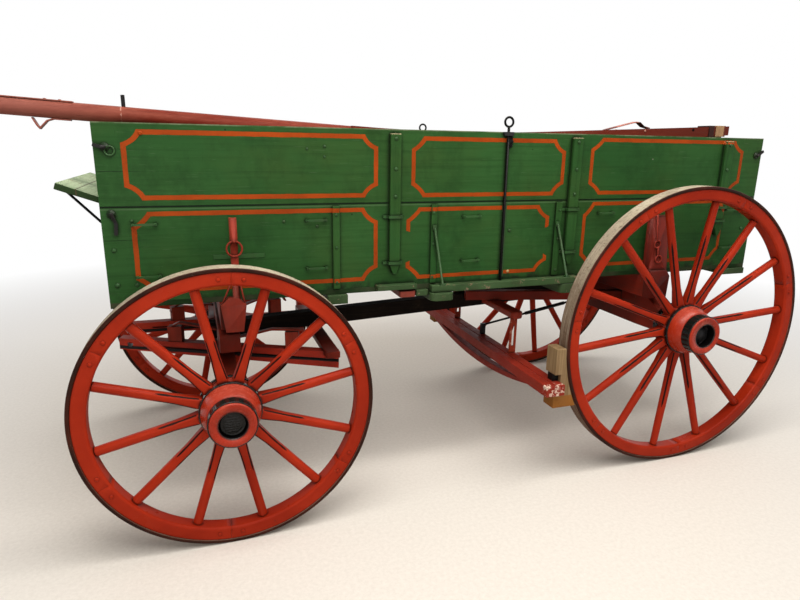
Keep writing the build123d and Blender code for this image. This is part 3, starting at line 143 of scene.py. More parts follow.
BOLT_GROUPS = [
    ("board_bolts", BOARD_BOLTS + CLEAT_BOLTS + STRIP_BOLTS, "iron_green"),
    ("red_bolts", [(0.246, 1.579, 0.008)], "stripe"),
    ("brass_bolts", [(-1.287, 0.989, 0.008)], "brass"),
]
STAPLES_X = (0.260, -0.385, -1.084, -1.8, -2.59)
STAPLE_DROPS = (0.064, 0.262)  # below the seam between the boards
STAPLE_HALF = 0.036  # from a staple's middle to each rivet
STAPLE_HEAD = (0.0036, 0.0030)  # radius, height
PLATE_THICK = 0.0015
SIDE_PLATES = [
    # rear and front, low and high: behind the stake, and beside the upright rod
    ((-0.175, 0.022), (1.106, 1.124)),
    ((-1.263, -1.238), (0.966, 1.300)),
]
RING_PLACE = (0.352, 1.516)
RING_OUT = 0.0040  # from the boards to the ring's middle
RING_R = 0.0160
RING_WIRE = 0.0028
CATCH_PLATE = ((-1.270, -1.253), (1.551, 1.606))
CATCH_THICK = 0.0050
CATCH_NUTS = [(-1.262, 1.574, 0.0085), (-1.260, 1.557, 0.0055)]
RAY_START = 0.2  # how far outside a surface a ray towards it starts

# Details on the tongue
TONGUE_PIN_X = BOX_FRONT - 0.090
TONGUE_SPOTS = [
    # name, place and height, radius, how far it stands out as a share of it, material
    # a flat black disc as painted shade in a bolt hole
    ("tongue_holes", [(-2.500, 1.657, 0.0085, 0.06)], "recess_black"),
    ("tongue_bolts", [(-2.180, 1.645, 0.0065, 0.5), (-1.995, 1.646, 0.0040, 0.4)], "worn_boss"),
]
STRAP_BOLTS_X = (0.535, 0.585)
STRAP_BOLT = (0.006, 0.0035)  # radius, height

# Wheels
TYRE_AND_FELLOE = 0.067  # tyre and felloe together, across the rim
FELLOE_HALF = 0.034
FELLOE_BOLT_IN = 0.041  # from the tread to the bolts
FELLOE_BOLT_OFF = 0.048  # from a felloe joint to the bolts beside it
FELLOE_BOLT = (0.008, 0.0035)  # radius, height
NOSE = {"front": 0.148, "rear": 0.138}  # hub nose, out from the wheel's middle plane
RECESS_R = {"front": 0.052, "rear": 0.056}  # opening in the nose for the nut
LINING_DEPTHS = (0.0035, 0.016, 0.029, 0.0425)
CAP_SINK = 0.019  # from the nose in to the cap
ROUND_SIDES = 72
CAP_ROWS = 22
SPOKE_INSET = 0.012  # where a spoke's black lines start, out from the hub
SPOKE_DISH = 0.018  # how far a spoke's foot lies behind the rim's middle plane
SPOKE_CORNER = 0.024  # from a spoke's axis to its front corners
SPOKE_REACH = 0.06  # nothing of a spoke lies further from its axis
LINE_STEPS = 14
Wheel = namedtuple("Wheel", "name end side centre radius spokes phase hub_r line_lengths line_width")
WHEELS = []
for end, spokes, phase, hub_r, line_lengths, line_width in (
    ("front", 12, 78.0, 0.113, (0.38, 0.50), 0.9),
    ("rear", 14, 98.4, 0.118, (0.42, 0.80), 1.05),
):
    for word, side in (("left", 1), ("right", -1)):
        centre = JOINTS[f"spin_{end}_{word}"]
        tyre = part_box(f"tire_{end}_{word}")
        radius = (tyre[1].x - tyre[0].x) / 2
        WHEELS.append(Wheel(
            f"{end}_{word}", end, side, centre, radius, spokes, phase, hub_r, line_lengths, line_width,
        ))

# Studio
FLOOR_NEAR = 1.6  # where the floor begins to turn white, and where it is white
FLOOR_FAR = 6.0
FLOOR_HALF = 20
WORLD_COLOUR = (1.0, 0.94, 0.86)
LAMP_COLOUR = (1.0, 0.95, 0.88)
LAMPS = [
    # name, place, target, width and depth, watts
    ("ceiling_front", (0.8, 2.2, 3.6), (0.2, 0.3, 0.9), (2.4, 2.4), 92),
    ("ceiling_rear", (-1.9, 1.6, 3.6), (-1.0, 0.2, 0.9), (2.4, 2.4), 57),
    ("ceiling_strip", (0.0, 1.15, 3.3), (0.0, 1.0, 0.0), (4.5, 0.35), 45),
    ("ceiling_far", (0.0, -2.4, 3.4), (0.0, -0.2, 0.8), (4.0, 2.0), 70),
    ("fill", (1.5, 4.5, 1.6), (0.0, 0.0, 0.8), (3.0, 3.0), 35),
]


# Materials
MATERIALS = {}
GRAIN = {
    # stretch of the grain's noise for wood that runs along each axis
    "x": (1.2, 34.0, 34.0),
    "y": (34.0, 1.2, 34.0),
    "z": (34.0, 34.0, 1.2),
    "none": (9.0, 9.0, 9.0),
}


class Nodes:
    """A node tree of a material or of the world."""

    def __init__(self, tree):
        self.tree = tree

    def node(self, kind, **settings):
        made = self.tree.nodes.new(kind)
        for key, value in settings.items():
            setattr(made, key, value)
        return made

    def feed(self, socket, value):
        if isinstance(value, bpy.types.NodeSocket):
            self.tree.links.new(value, socket)
        elif socket.type == "RGBA":
            socket.default_value = (*value, 1)
        else:
            socket.default_value = value

    def maths(self, operation, first, second=0.0):
        made = self.node("ShaderNodeMath", operation=operation)
        self.feed(made.inputs[0], first)
        self.feed(made.inputs[1], second)
        return made.outputs[0]

    def seen_by(self, *rays):
        """1 for the kinds of ray that are named, 0 for others."""
        path = self.node("ShaderNodeLightPath")
        seen = path.outputs[rays[0]]
        for ray in rays[1:]:
            seen = self.maths("MAXIMUM", seen, path.outputs[ray])
        return seen

    def blend(self, output, share, first, second):
        """Feeds an output with two shaders, the second one by its share."""
        mixed = self.node("ShaderNodeMixShader")
        for socket, part in zip(mixed.inputs, (share, first, second)):
            self.feed(socket, part)
        self.feed(self.tree.nodes[output].inputs[0], mixed.outputs[0])


class Shade(Nodes):
    """One procedural material: its nodes read the point in the object's own space."""

    def __init__(self, name, colour):
        self.colour = colour
        self.material = bpy.data.materials.new(name)
        self.material.use_nodes = True
        super().__init__(self.material.node_tree)
        self.shader = self.tree.nodes["Principled BSDF"]
        self.places = self.node("ShaderNodeTexCoord")
        self.point = self.places.outputs["Object"]
        MATERIALS[name] = self.material

    def moved(self, stretch, offset):
        mapping = self.node("ShaderNodeMapping")
        self.feed(mapping.inputs["Vector"], self.point)
        mapping.inputs["Scale"].default_value = stretch
        mapping.inputs["Location"].default_value = (offset, offset * 0.7, offset * 1.3)
        return mapping.outputs[0]

    def noise(self, scale, stretch=(1, 1, 1), detail=4.0, rough=0.55, offset=0.0, warp=0.0):
        texture = self.node("ShaderNodeTexNoise")
        self.feed(texture.inputs["Vector"], self.moved(stretch, offset))
        settings = {"Scale": scale, "Detail": detail, "Roughness": rough, "Distortion": warp}
        for key, value in settings.items():
            texture.inputs[key].default_value = value
        return texture.outputs[0]

    def dots(self, scale, size, offset):
        """1 inside sparse round dots of about size / scale metres, 0 outside."""
        texture = self.node("ShaderNodeTexVoronoi")
        self.feed(texture.inputs["Vector"], self.moved((1, 1, 1), offset))
        texture.inputs["Scale"].default_value = scale
        return self.step(texture.outputs["Distance"], size, size * 0.7)

    def crevice_shade(self, reach=0.014):
        """Painted shade with some grime: 1 where other surfaces come close, such as beside a strap or under
        a cleat, 0 in the open.
        """
        made = self.node("ShaderNodeAmbientOcclusion", samples=6)
        made.inputs["Distance"].default_value = reach
        return self.step(made.outputs["AO"], 0.94, 0.58)

    def step(self, value, low, high, to_low=0.0, to_high=1.0):
        """Runs from one value to another as its input runs from low to high, which may fall."""
        made = self.node("ShaderNodeMapRange", clamp=True)
        for socket, part in zip(made.inputs, (value, low, high, to_low, to_high)):
            self.feed(socket, part)
        return made.outputs[0]

    def times(self, first, second):
        return self.maths("MULTIPLY", first, second)

    def plus(self, first, second):
        return self.maths("ADD", first, second)

    def minus(self, first, second):
        return self.maths("SUBTRACT", first, second)

    def near(self, value, place, far, close):
        """0 where a value is far from a place, 1 where it is close to it."""
        return self.step(self.maths("ABSOLUTE", self.minus(value, place)), far, close)

    def part(self, vector, name):
        split = self.node("ShaderNodeSeparateXYZ")
        self.feed(split.inputs[0], vector)
        return split.outputs[name]

    def axis(self, name):
        return self.part(self.point, name)

    def facing(self, name):
        """How much the surface looks along an axis."""
        return self.part(self.places.outputs["Normal"], name)

    def out(self):
        """Distance from the wagon's middle plane."""
        return self.maths("ABSOLUTE", self.axis("Y"))

    def mix(self, share, first, second):
        made = self.node("ShaderNodeMix", data_type="RGBA", blend_type="MIX")
        self.feed(made.inputs[0], share)
        self.feed(made.inputs[6], first)
        self.feed(made.inputs[7], second)
        return made.outputs[2]

    def tint(self, share, colour):
        """Lays a colour by its share over what is there."""
        self.colour = self.mix(share, self.colour, colour)

    def lay(self, colour, value, low, high, most=1.0):
        """Lays a colour over what is there as a value passes from low to high."""
        self.tint(self.step(value, low, high, 0.0, most), colour)

    def done(self, roughness, height=None, strength=0.3, distance=0.002, shine=0.09):
        self.feed(self.shader.inputs["Base Color"], self.colour)
        self.feed(self.shader.inputs["Specular IOR Level"], shine)
        self.feed(self.shader.inputs["Roughness"], roughness)
        if height is not None:
            bump = self.node("ShaderNodeBump")
            bump.inputs["Strength"].default_value = strength
            bump.inputs["Distance"].default_value = distance
            self.feed(bump.inputs["Height"], height)
            self.feed(self.shader.inputs["Normal"], bump.outputs[0])


def painted(name, light, dark, grain="x", chips=0.0, chip_colour=BARE_WOOD, dirt=0.35, gloss=(0.32, 0.55),
            marks=(), shine=0.09, crevice_shade_share=0.8):
    """Old brushed paint: uneven tone, grain showing through, grime, chips down to the wood, and painted
    shade with some grime where surfaces come close.

    Marks are pairs of a function that finds a part of the piece and the colour it has there.
    """
    s = Shade(name, dark)
    fibre = s.noise(3.0, GRAIN[grain], detail=5, rough=0.65)
    s.lay(light, s.noise(2.6, detail=3), 0.35, 0.68)
    for find, mark_colour in marks:
        s.tint(find(s), mark_colour)
    s.lay(DIRT, fibre, 0.42, 0.75, 0.30)
    s.lay(DIRT, s.noise(11.0, detail=6, rough=0.7, offset=3.0), 0.52, 0.78, dirt)
    s.lay(light, s.noise(60.0, GRAIN[grain], detail=2, offset=9.0), 0.70, 0.76, 0.5)
    height = s.plus(s.times(fibre, 0.8), s.noise(90.0, detail=2))
    if chips:
        flaking = s.noise(26.0, detail=7, rough=0.72, offset=5.0)
        edge = 0.72 - 0.10 * chips
        gone = s.step(flaking, edge, edge + 0.015)
        s.tint(gone, chip_colour)
        height = s.minus(height, s.times(gone, 0.8))
    # painted shade, with some grime, where other surfaces come close
    s.tint(s.times(s.crevice_shade(), crevice_shade_share), CREVICE_SHADE)
    roughness = s.step(s.noise(7.0, detail=5, offset=1.0), 0.3, 0.7, *gloss)
    s.done(roughness, height, 0.22, 0.0012, shine)


def between(axis, low, high, soft=0.002):
    """Finds the part of a piece between two places along an axis."""
    def find(s):
        place = s.axis(axis)
        rising = s.step(place, low - soft, low + soft)
        return s.times(rising, s.step(place, high + soft, high - soft))
    return find


def outside(width, soft=0.001):
    """Finds what lies further out than a distance from the wagon's middle plane."""
    return lambda s: s.step(s.out(), width - soft, width + soft)


def both(first, second):
    return lambda s: s.times(first(s), second(s))


def on_boards(s):
    """Finds the first few millimetres of iron that lie on the side boards."""
    out = s.out()
    rising = s.step(out, BOX_HALF - 0.001, BOX_HALF)
    return s.times(rising, s.step(out, BOX_HALF + 0.009, BOX_HALF + 0.007))


def hound_groove_shadow(s):
    """Finds the black line of painted shadow in the groove along a front hound's side, which rises to the
    front with it.
    """
    along = s.minus(s.axis("X"), FRONT_X - 0.510)
    middle = s.plus(s.times(along, 0.0823), WHEEL_Z + 0.027)
    waver = s.times(s.noise(9.0, detail=3, offset=5.0), 0.006)
    return s.near(s.plus(s.axis("Z"), waver), middle, 0.0085, 0.0065)


def box_paint(name, grain="x"):
    """Satin green of the box: soft mottling, scratches, nail dots, cracks along the joints, and painted
    shade with some grime beside cleats and irons.
    """
    s = Shade(name, GREEN)
    fibre = s.noise(2.2, GRAIN[grain], detail=6, rough=0.66)
    scratch = s.noise(5.0, (2.0, 60.0, 120.0), detail=3, offset=7.0)
    s.lay(GREEN_LIGHT, s.noise(1.7, (1, 1, 1.6)), 0.30, 0.72)
    olive = s.noise(2.1, (1, 1, 1.4), detail=5, rough=0.6, offset=12.0)
    s.lay(GREEN_OLIVE, olive, 0.46, 0.68, 0.45)
    blotch = s.noise(6.5, (1, 1, 0.6), detail=6, rough=0.7, offset=4.0)
    s.lay(GREEN_DARK, blotch, 0.48, 0.72, 0.50)
    s.lay(GREEN_DARK, fibre, 0.48, 0.76, 0.45)
    s.lay(GREEN_WORN, scratch, 0.695, 0.72, 0.40)
    scratch_down = s.noise(4.0, (130.0, 60.0, 3.0), detail=2, offset=2.0)
    s.lay(GREEN_DARK, scratch_down, 0.70, 0.72, 0.30)
    s.tint(s.times(s.dots(7.0, 0.030, 1.5), 0.8), (0.006, 0.009, 0.005))
    s.tint(s.times(s.dots(5.0, 0.016, 6.5), 0.7), (0.25, 0.25, 0.20))
    height = s.plus(fibre, s.times(scratch, -0.4))
    if grain == "x":
        height = board_marks(s, height)
    else:
        s.lay((0.28, 0.24, 0.14), s.axis("Z"), BOX_TOP - 0.0215, BOX_TOP - 0.0195)
    # painted shade, with some grime, beside cleats, staples and irons
    s.tint(s.times(s.crevice_shade(0.018), 0.85), CREVICE_SHADE)
    roughness = s.step(s.noise(5.0, (1, 1, 2), detail=6, offset=8.0), 0.3, 0.7, 0.36, 0.60)
    s.done(roughness, height, 0.30, 0.0014, 0.07)


def board_marks(s, height):
    """Cracks along the board joints, a painted shadow along the seam under the upper board with a painted
    highlight just below it, the rubbed top edge and the rough foot.
    """
    upright = s.axis("Z")
    near_front = s.step(s.axis("X"), FRONT_X + 0.24, FRONT_X + 0.34, 0.12, 0.85)
    for joint in BOARD_JOINTS:
        waver = s.times(s.noise(3.0, (1, 0, 0), offset=joint), 0.003)
        line = s.near(s.plus(upright, waver), joint + 0.0015, 0.0014, 0.0005)
        broken = s.step(s.noise(1.6, (1, 0, 0), detail=3, offset=joint * 9), 0.36, 0.46)
        line = s.times(s.times(line, broken), near_front)
        s.tint(line, (0.004, 0.008, 0.004))
        height = s.minus(height, s.times(line, 2.0))
    # painted shadow under the upper board's edge along the seam, and a painted highlight just below it
    s.tint(s.times(s.near(upright, SEAM_Z, 0.0045, 0.0028), 0.9), (0.003, 0.006, 0.003))
    s.tint(s.times(s.near(upright, SEAM_Z - 0.009, 0.004, 0.001), 0.30), GREEN_WORN)
    rim = s.step(upright, BOX_TOP - 0.006, BOX_TOP - 0.002)
    patchy = s.step(s.noise(5.0, (1, 1, 0), detail=5, rough=0.7, offset=3.0), 0.42, 0.58, 0.1, 0.75)
    s.tint(s.times(rim, patchy), (0.17, 0.19, 0.12))
    foot = s.step(upright, FLOOR_TOP + 0.05, FLOOR_TOP)
    rough_foot = s.step(s.noise(14.0, detail=6, rough=0.7, offset=6.0), 0.45, 0.62)
    s.tint(s.times(foot, rough_foot), (0.010, 0.016, 0.008))
    return height


def bare_wood(name, light, dark, grain, marks=()):
    """Raw or weathered wood with plain grain lines and dark pores."""
    s = Shade(name, dark)
    fibre = s.noise(2.0, GRAIN[grain], detail=7, rough=0.6, warp=0.3)
    s.lay(light, fibre, 0.35, 0.70)
    for find, mark_colour in marks:
        s.tint(find(s), mark_colour)
    s.lay(dark, s.noise(3.0, offset=2.0), 0.45, 0.75, 0.5)
    s.lay(DIRT, s.noise(30.0, GRAIN[grain], detail=2, offset=4.0), 0.66, 0.72, 0.7)
    s.done(0.75, fibre, 0.45)


def iron(name, colour, rust=0.25, gloss=(0.30, 0.6), shine=0.10, relief=0.5):
    """Painted or blackened forged iron with a cast skin and rust in its pits."""
    s = Shade(name, colour)
    pits = s.noise(55.0, detail=6, rough=0.7)
    lighter = tuple(v * 1.6 + 0.003 for v in colour)
    s.lay(lighter, s.noise(8.0, offset=3.0), 0.4, 0.7, 0.6)
    s.lay((0.070, 0.030, 0.016), pits, 0.58, 0.74, rust)
    s.done(s.step(pits, 0.35, 0.7, *gloss), pits, relief, 0.0010, shine)


def tyre_iron(name):
    """Worn tread with dust and painted light on its upper side, rust streaks round it, and dark painted
    sides.
    """
    s = Shade(name, (0.085, 0.036, 0.020))
    side = s.step(s.maths("ABSOLUTE", s.facing("Y")), 0.45, 0.62)
    speck = s.noise(95.0, (1, 0.6, 1), detail=5, rough=0.75)
    broad = s.noise(7.0, detail=5, rough=0.6, offset=2.0)
    lengthwise = s.noise(3.0, (3.0, 60.0, 3.0), detail=3, offset=5.0)
    # painted light with dust: the tread is paler where it faces up, as lit from above
    upward = s.step(s.facing("Z"), -0.1, 0.9, 0.05, 1.0)
    dust_and_top_light = s.times(upward, s.step(broad, 0.25, 0.60, 0.45, 1.0))
    s.tint(dust_and_top_light, TREAD_DUST_AND_LIGHT)
    s.lay((0.080, 0.048, 0.028), speck, 0.50, 0.68, 0.75)
    s.lay((0.44, 0.38, 0.30), lengthwise, 0.50, 0.72, 0.55)
    off = s.maths("ABSOLUTE", s.minus(s.out(), HALF_TRACK))
    s.lay((0.075, 0.012, 0.007), off, TYRE_HALF - 0.0065, TYRE_HALF - 0.0030, 0.9)
    rim = s.mix(s.step(broad, 0.40, 0.70, 0.0, 0.8), (0.014, 0.005, 0.003), (0.055, 0.012, 0.006))
    s.tint(side, s.mix(s.step(speck, 0.62, 0.70, 0.0, 0.35), rim, (0.20, 0.12, 0.08)))
    height = s.plus(s.times(speck, 0.8), s.times(lengthwise, 0.6))
    s.done(s.step(side, 0.0, 1.0, 0.72, 0.48), height, 0.6, 0.0016, 0.08)


def wheel_paint(name):
    """Bright wheel red, smooth on its faces, darker in patches of grime, and with painted shade where parts
    come close.
    """
    s = Shade(name, WHEEL_RED_DEEP)
    brushed = s.noise(16.0, detail=7, rough=0.68, offset=2.0)
    s.lay(WHEEL_RED, s.noise(3.2), 0.34, 0.66)
    s.lay(WHEEL_RED_DEEP, brushed, 0.50, 0.78, 0.45)
    s.lay(DIRT, s.noise(40.0, detail=6, rough=0.75, offset=6.0), 0.63, 0.74, 0.55)
    rubbed = s.noise(22.0, (1, 2, 1), detail=5, rough=0.7, offset=11.0)
    s.lay((0.48, 0.10, 0.05), rubbed, 0.70, 0.74, 0.45)
    # painted shade, with some grime, where parts of the wheel come close
    s.tint(s.times(s.crevice_shade(0.010), 0.75), (0.018, 0.004, 0.003))
    roughness = s.step(s.noise(9.0, detail=5, offset=4.0), 0.3, 0.7, 0.24, 0.46)
    height = s.plus(s.times(brushed, 0.8), s.noise(120.0, detail=2))
    s.done(roughness, height, 0.20, 0.0012, 0.06)


def hub_paint(name, end):
    """Glossy wheel red over turned wood, whose rings follow the axle, lighter on top with painted light and
    dust, and a black recess in the nose whose edge is softened by painted shade.
    """
    s = Shade(name, WHEEL_RED_DEEP)
    rings = s.noise(120.0, (0, 1, 0), detail=3)
    smear = s.noise(28.0, (1, 2, 1), detail=6, rough=0.7, offset=3.0)
    s.lay(WHEEL_RED, s.noise(6.0), 0.34, 0.66)
    s.lay(DIRT, rings, 0.60, 0.74, 0.25)
    s.lay(DIRT, smear, 0.60, 0.75, 0.35)
    s.lay((0.50, 0.075, 0.035), s.noise(18.0, (0.6, 4, 0.6), offset=8.0), 0.60, 0.72, 0.5)
    # painted light with some dust: upward-facing parts of the hub are lighter, as lit from above
    upward = s.step(s.facing("Z"), 0.35, 0.95, 0.0, 0.27)
    top_light_and_dust = s.times(upward, s.step(smear, 0.30, 0.60, 0.5, 1.0))
    s.tint(top_light_and_dust, (0.62, 0.15, 0.105))
    centre = JOINTS[f"spin_{end}_left"]
    across = s.minus(s.axis("X"), centre.x)
    up = s.minus(s.axis("Z"), centre.z)
    from_axle = s.maths("SQRT", s.plus(s.times(across, across), s.times(up, up)))
    uneven = s.times(s.noise(40.0, detail=3, offset=14.0), 0.003)
    # painted shade softens the edge of the black recess into the nose ring
    shaded_hole_edge = (RECESS_R[end] + 0.0065, RECESS_R[end] - 0.0010)
    s.lay((0.008, 0.003, 0.002), s.minus(from_axle, uneven), *shaded_hole_edge)
    height = s.plus(rings, s.times(smear, 0.4))
    s.done(s.step(smear, 0.3, 0.7, 0.16, 0.36), height, 0.16, 0.0010, 0.20)


def brake_paint(name):
    """Gear red, flaked to a pale ground near the beam's ends."""
    s = Shade(name, GEAR_RED)
    fibre = s.noise(3.0, GRAIN["y"], detail=5, rough=0.65)
    s.lay((0.24, 0.022, 0.014), s.noise(3.0, detail=3), 0.35, 0.68)
    s.lay(DIRT, fibre, 0.45, 0.75, 0.4)
    out = s.out()
    near_end = s.step(out, 0.735, 0.79)
    flaking = s.noise(38.0, detail=7, rough=0.75, warp=0.8)
    gone = s.step(s.plus(flaking, s.times(near_end, 0.13)), 0.655, 0.67)
    gone = s.times(gone, s.step(out, 0.62, 0.76))
    s.tint(gone, (0.62, 0.48, 0.40))
    wound = s.noise(24.0, detail=6, rough=0.7, offset=8.0)
    s.lay((0.10, 0.05, 0.03), wound, 0.66, 0.68, 0.8)
    height = s.minus(fibre, s.times(gone, 1.5))
    s.done(s.step(wound, 0.3, 0.7, 0.35, 0.6), height, 0.35)


def stripe_paint(name, colour, ground, worn, shine=0.08):
    """A painted line, rubbed through to its ground in places."""
    s = Shade(name, colour)
    s.lay(tuple(v * 0.72 for v in colour), s.noise(9.0), 0.35, 0.7)
    rubbed = s.noise(55.0, detail=6, rough=0.75, offset=2.0)
    s.lay(ground, rubbed, worn, worn + 0.03, 0.8)
    s.done(0.45, s.noise(80.0, detail=3), 0.15, 0.0008, shine)


def footboard_paint(name):
    """Pale worn green on top and dark green at the sides, with a joint between its boards."""
    s = Shade(name, (0.22, 0.31, 0.17))
    fibre = s.noise(3.0, GRAIN["y"], detail=6, rough=0.7)
    s.lay((0.36, 0.45, 0.28), s.noise(5.0, detail=5), 0.35, 0.65)
    s.lay((0.10, 0.13, 0.07), fibre, 0.50, 0.72, 0.6)
    s.lay((0.20, 0.16, 0.10), s.noise(18.0, detail=5, offset=4.0), 0.62, 0.70, 0.6)
    s.lay((0.020, 0.040, 0.014), s.facing("Z"), 0.75, 0.45)
    joint = s.near(s.axis("X"), BOX_FRONT + 0.085, 0.0022, 0.0010)
    s.tint(joint, (0.07, 0.045, 0.025))
    s.done(0.65, fibre, 0.35)


def tongue_paint(name):
    """Dull red, pale in front and dark behind, with a pale ring and long checks in the wood."""
    s = Shade(name, TONGUE_RED)
    along = s.axis("X")
    fibre = s.noise(2.0, GRAIN["x"], detail=7, rough=0.68)
    worn = s.noise(4.0, (0.7, 4, 4), detail=6, rough=0.7, offset=2.0)
    ahead = s.step(along, BOX_REAR + 0.5, BOX_FRONT + 0.1, 0.25, 1.0)
    s.tint(s.times(s.step(worn, 0.44, 0.66), ahead), TONGUE_PALE)
    s.lay((0.30, 0.120, 0.095), along, BOX_FRONT - 0.2, BOX_FRONT + 0.25, 0.5)
    s.lay((0.055, 0.010, 0.006), along, BOX_REAR + 1.3, BOX_REAR + 0.2, 0.6)
    nick = s.step(s.noise(60.0, detail=3, offset=21.0), 0.44, 0.52)
    pale_ring = s.times(s.near(along, FRONT_X + 0.324, 0.0030, 0.0015), nick)
    s.tint(pale_ring, (0.42, 0.22, 0.18))
    s.lay((0.09, 0.025, 0.018), fibre, 0.50, 0.74, 0.55)
    crack = s.step(s.noise(4.0, (1.0, 90.0, 90.0), detail=2, offset=5.0), 0.715, 0.735)
    s.tint(crack, (0.02, 0.008, 0.006))
    bare = s.noise(14.0, (0.4, 2, 2), detail=7, rough=0.7, offset=8.0)
    s.lay((0.36, 0.26, 0.18), bare, 0.68, 0.70, 0.8)
    s.done(0.6, s.minus(fibre, s.times(crack, 1.5)), 0.4)


def make_materials():
    brown = (0.10, 0.05, 0.03)
    irons = {"chips": 0.7, "chip_colour": (0.040, 0.035, 0.022), "dirt": 0.5, "shine": 0.2}
    box_paint("box_green")
    box_paint("box_green_upright", "z")
    painted("box_edge", GREEN_LIGHT, GREEN_DARK, "x", 1.3, (0.14, 0.13, 0.075), 0.6)
    painted("rail_green", (0.060, 0.110, 0.045), (0.020, 0.046, 0.016), "x", 1.2, (0.16, 0.115, 0.075), 0.6)
    pale_patch = (between("X", FRONT_X - 0.820, FRONT_X - 0.742), (0.21, 0.040, 0.028))
    painted("sill_green", (0.060, 0.105, 0.045), (0.024, 0.050, 0.018), "y", 1.0, (0.15, 0.12, 0.08),
            marks=[pale_patch])
    wheel_paint("wheel_red")
    for end in NOSE:
        hub_paint(f"hub_red_{end}", end)
    painted("gear_red", GEAR_RED, GEAR_RED_DEEP, "y", 0.5, brown, 0.5)
    painted("gear_red_long", GEAR_RED, GEAR_RED_DEEP, "x", 0.5, brown, 0.5)
    # the black line along each front hound is painted shadow in its groove
    painted("hound_red", (0.50, 0.042, 0.020), (0.24, 0.018, 0.010), "x", 0.4, (0.08, 0.03, 0.02), 0.4,
            marks=[(hound_groove_shadow, BLACK)])
    painted("stake_red", (0.33, 0.040, 0.020), (0.15, 0.016, 0.009), "z", 0.5, (0.05, 0.02, 0.015))
    stake_face = both(outside(BOX_HALF + 0.0585), between("Z", FLOOR_TOP + 0.02, BOX_TOP))
    painted("stake_dark", (0.13, 0.012, 0.007), (0.06, 0.006, 0.004), "z", 0.5, (0.03, 0.012, 0.008),
            marks=[(stake_face, (0.30, 0.035, 0.022))])
    painted("hanger_red", (0.34, 0.045, 0.018), (0.18, 0.018, 0.009), "z", 1.5, (0.42, 0.24, 0.17), 0.4)
    brake_paint("brake_red")
    iron("iron_black", BLACK, gloss=(0.25, 0.5))
    iron("rod_black", (0.004, 0.004, 0.004), 0.06, (0.25, 0.4), 0.08)
    iron("iron_bright", (0.004, 0.0045, 0.004), 0.04, (0.10, 0.20), 0.30, 0.04)
    iron("cap_iron", (0.004, 0.0035, 0.003), 0.10, (0.24, 0.40), 0.16, 0.4)
    iron("recess_black", (0.0025, 0.002, 0.002), 0.10, (0.55, 0.75), 0.02, 0.4)
    painted("latch_iron", (0.006,) * 3, (0.004,) * 3, "none", 0.4, (0.03, 0.03, 0.025), 0.4, (0.22, 0.40), [
        (on_boards, GREEN_DARK),
    ], 0.14)
    painted("iron_green", GREEN_LIGHT, GREEN, "none", **irons)
    keeper_x = between("X", FRONT_X - 1.285, FRONT_X - 1.205)
    keeper_z = between("Z", BOX_TOP - 0.08, BOX_TOP + 0.05)
    painted("rail_iron", GREEN_LIGHT, GREEN, "none", **irons, marks=[(both(keeper_x, keeper_z), BLACK)])
    iron("brass", (0.25, 0.15, 0.05), 0.3, (0.25, 0.45), 0.5)
    tyre_iron("tyre_iron")
    painted("reach_black", (0.008, 0.006, 0.005), (0.004, 0.003, 0.003), "x", 0.3, (0.03, 0.018, 0.012),
            gloss=(0.62, 0.80), shine=0.03)
    bare_wood("floor_wood", (0.26, 0.22, 0.16), (0.12, 0.10, 0.07), "x", [
        (outside(BOX_HALF - 0.006, 0.004), GREEN_DARK),
    ])
    bare_wood("brake_wood", (0.30, 0.21, 0.115), (0.17, 0.105, 0.05), "z", [
        (between("Z", 0.0, BEAM_Z), (0.24, 0.095, 0.020)),
    ])
    footboard_paint("footboard_green")
    tongue_paint("tongue_red")
    strap_marks = [(between("X", low, high), colour) for low, high, colour in (
        (BOX_FRONT + 0.02, BOX_FRONT + 0.80, (0.24, 0.070, 0.050)),
        (BOX_REAR + 0.105, BOX_REAR + 0.150, (0.030, 0.010, 0.008)),
        (BOX_REAR + 0.040, BOX_REAR + 0.100, (0.30, 0.18, 0.095)),
        (TONGUE_PIN_X - 0.012, TONGUE_PIN_X + 0.012, BLACK),
        (FRONT_X - 2.200, FRONT_X - 2.155, (0.022, 0.009, 0.006)),
        (FRONT_X - 2.150, FRONT_X - 2.02, (0.36, 0.13, 0.10)),
    )]
    # a smaller share of painted crevice shade on the thin straps
    painted("tongue_iron", (0.17, 0.030, 0.018), (0.07, 0.014, 0.009), "none", 1.0, (0.07, 0.045, 0.03),
            marks=strap_marks, crevice_shade_share=0.3)
    painted("worn_boss", (0.42, 0.20, 0.15), (0.20, 0.07, 0.05), "none", 0.6, brown)
    stripe_paint("stripe", STRIPE, GREEN, 0.655)
    stripe_paint("black_line", (0.006, 0.004, 0.004), WHEEL_RED_DEEP, 0.70, 0.05)


# Pieces
OUT = {side: Vector((0, side, 0)) for side in (1, -1)}  # outwards, for each side of the wagon


def placed(name, data):
    made = bpy.data.objects.new(name, data)
    bpy.context.scene.collection.objects.link(made)
    return made


def smooth(mesh, angle):
    mesh.shade_smooth()
    mesh.set_sharp_from_angle(angle=math.radians(angle))


def is_rim_joint(face, centre):
    """Whether a face of a felloe is one of its two ends, which butt against the next felloe."""
    radial = face.calc_center_median() - centre
    radial.y = 0
    return abs(face.normal.y) < 0.1 and abs(face.normal.dot(radial.normalized())) < 0.2


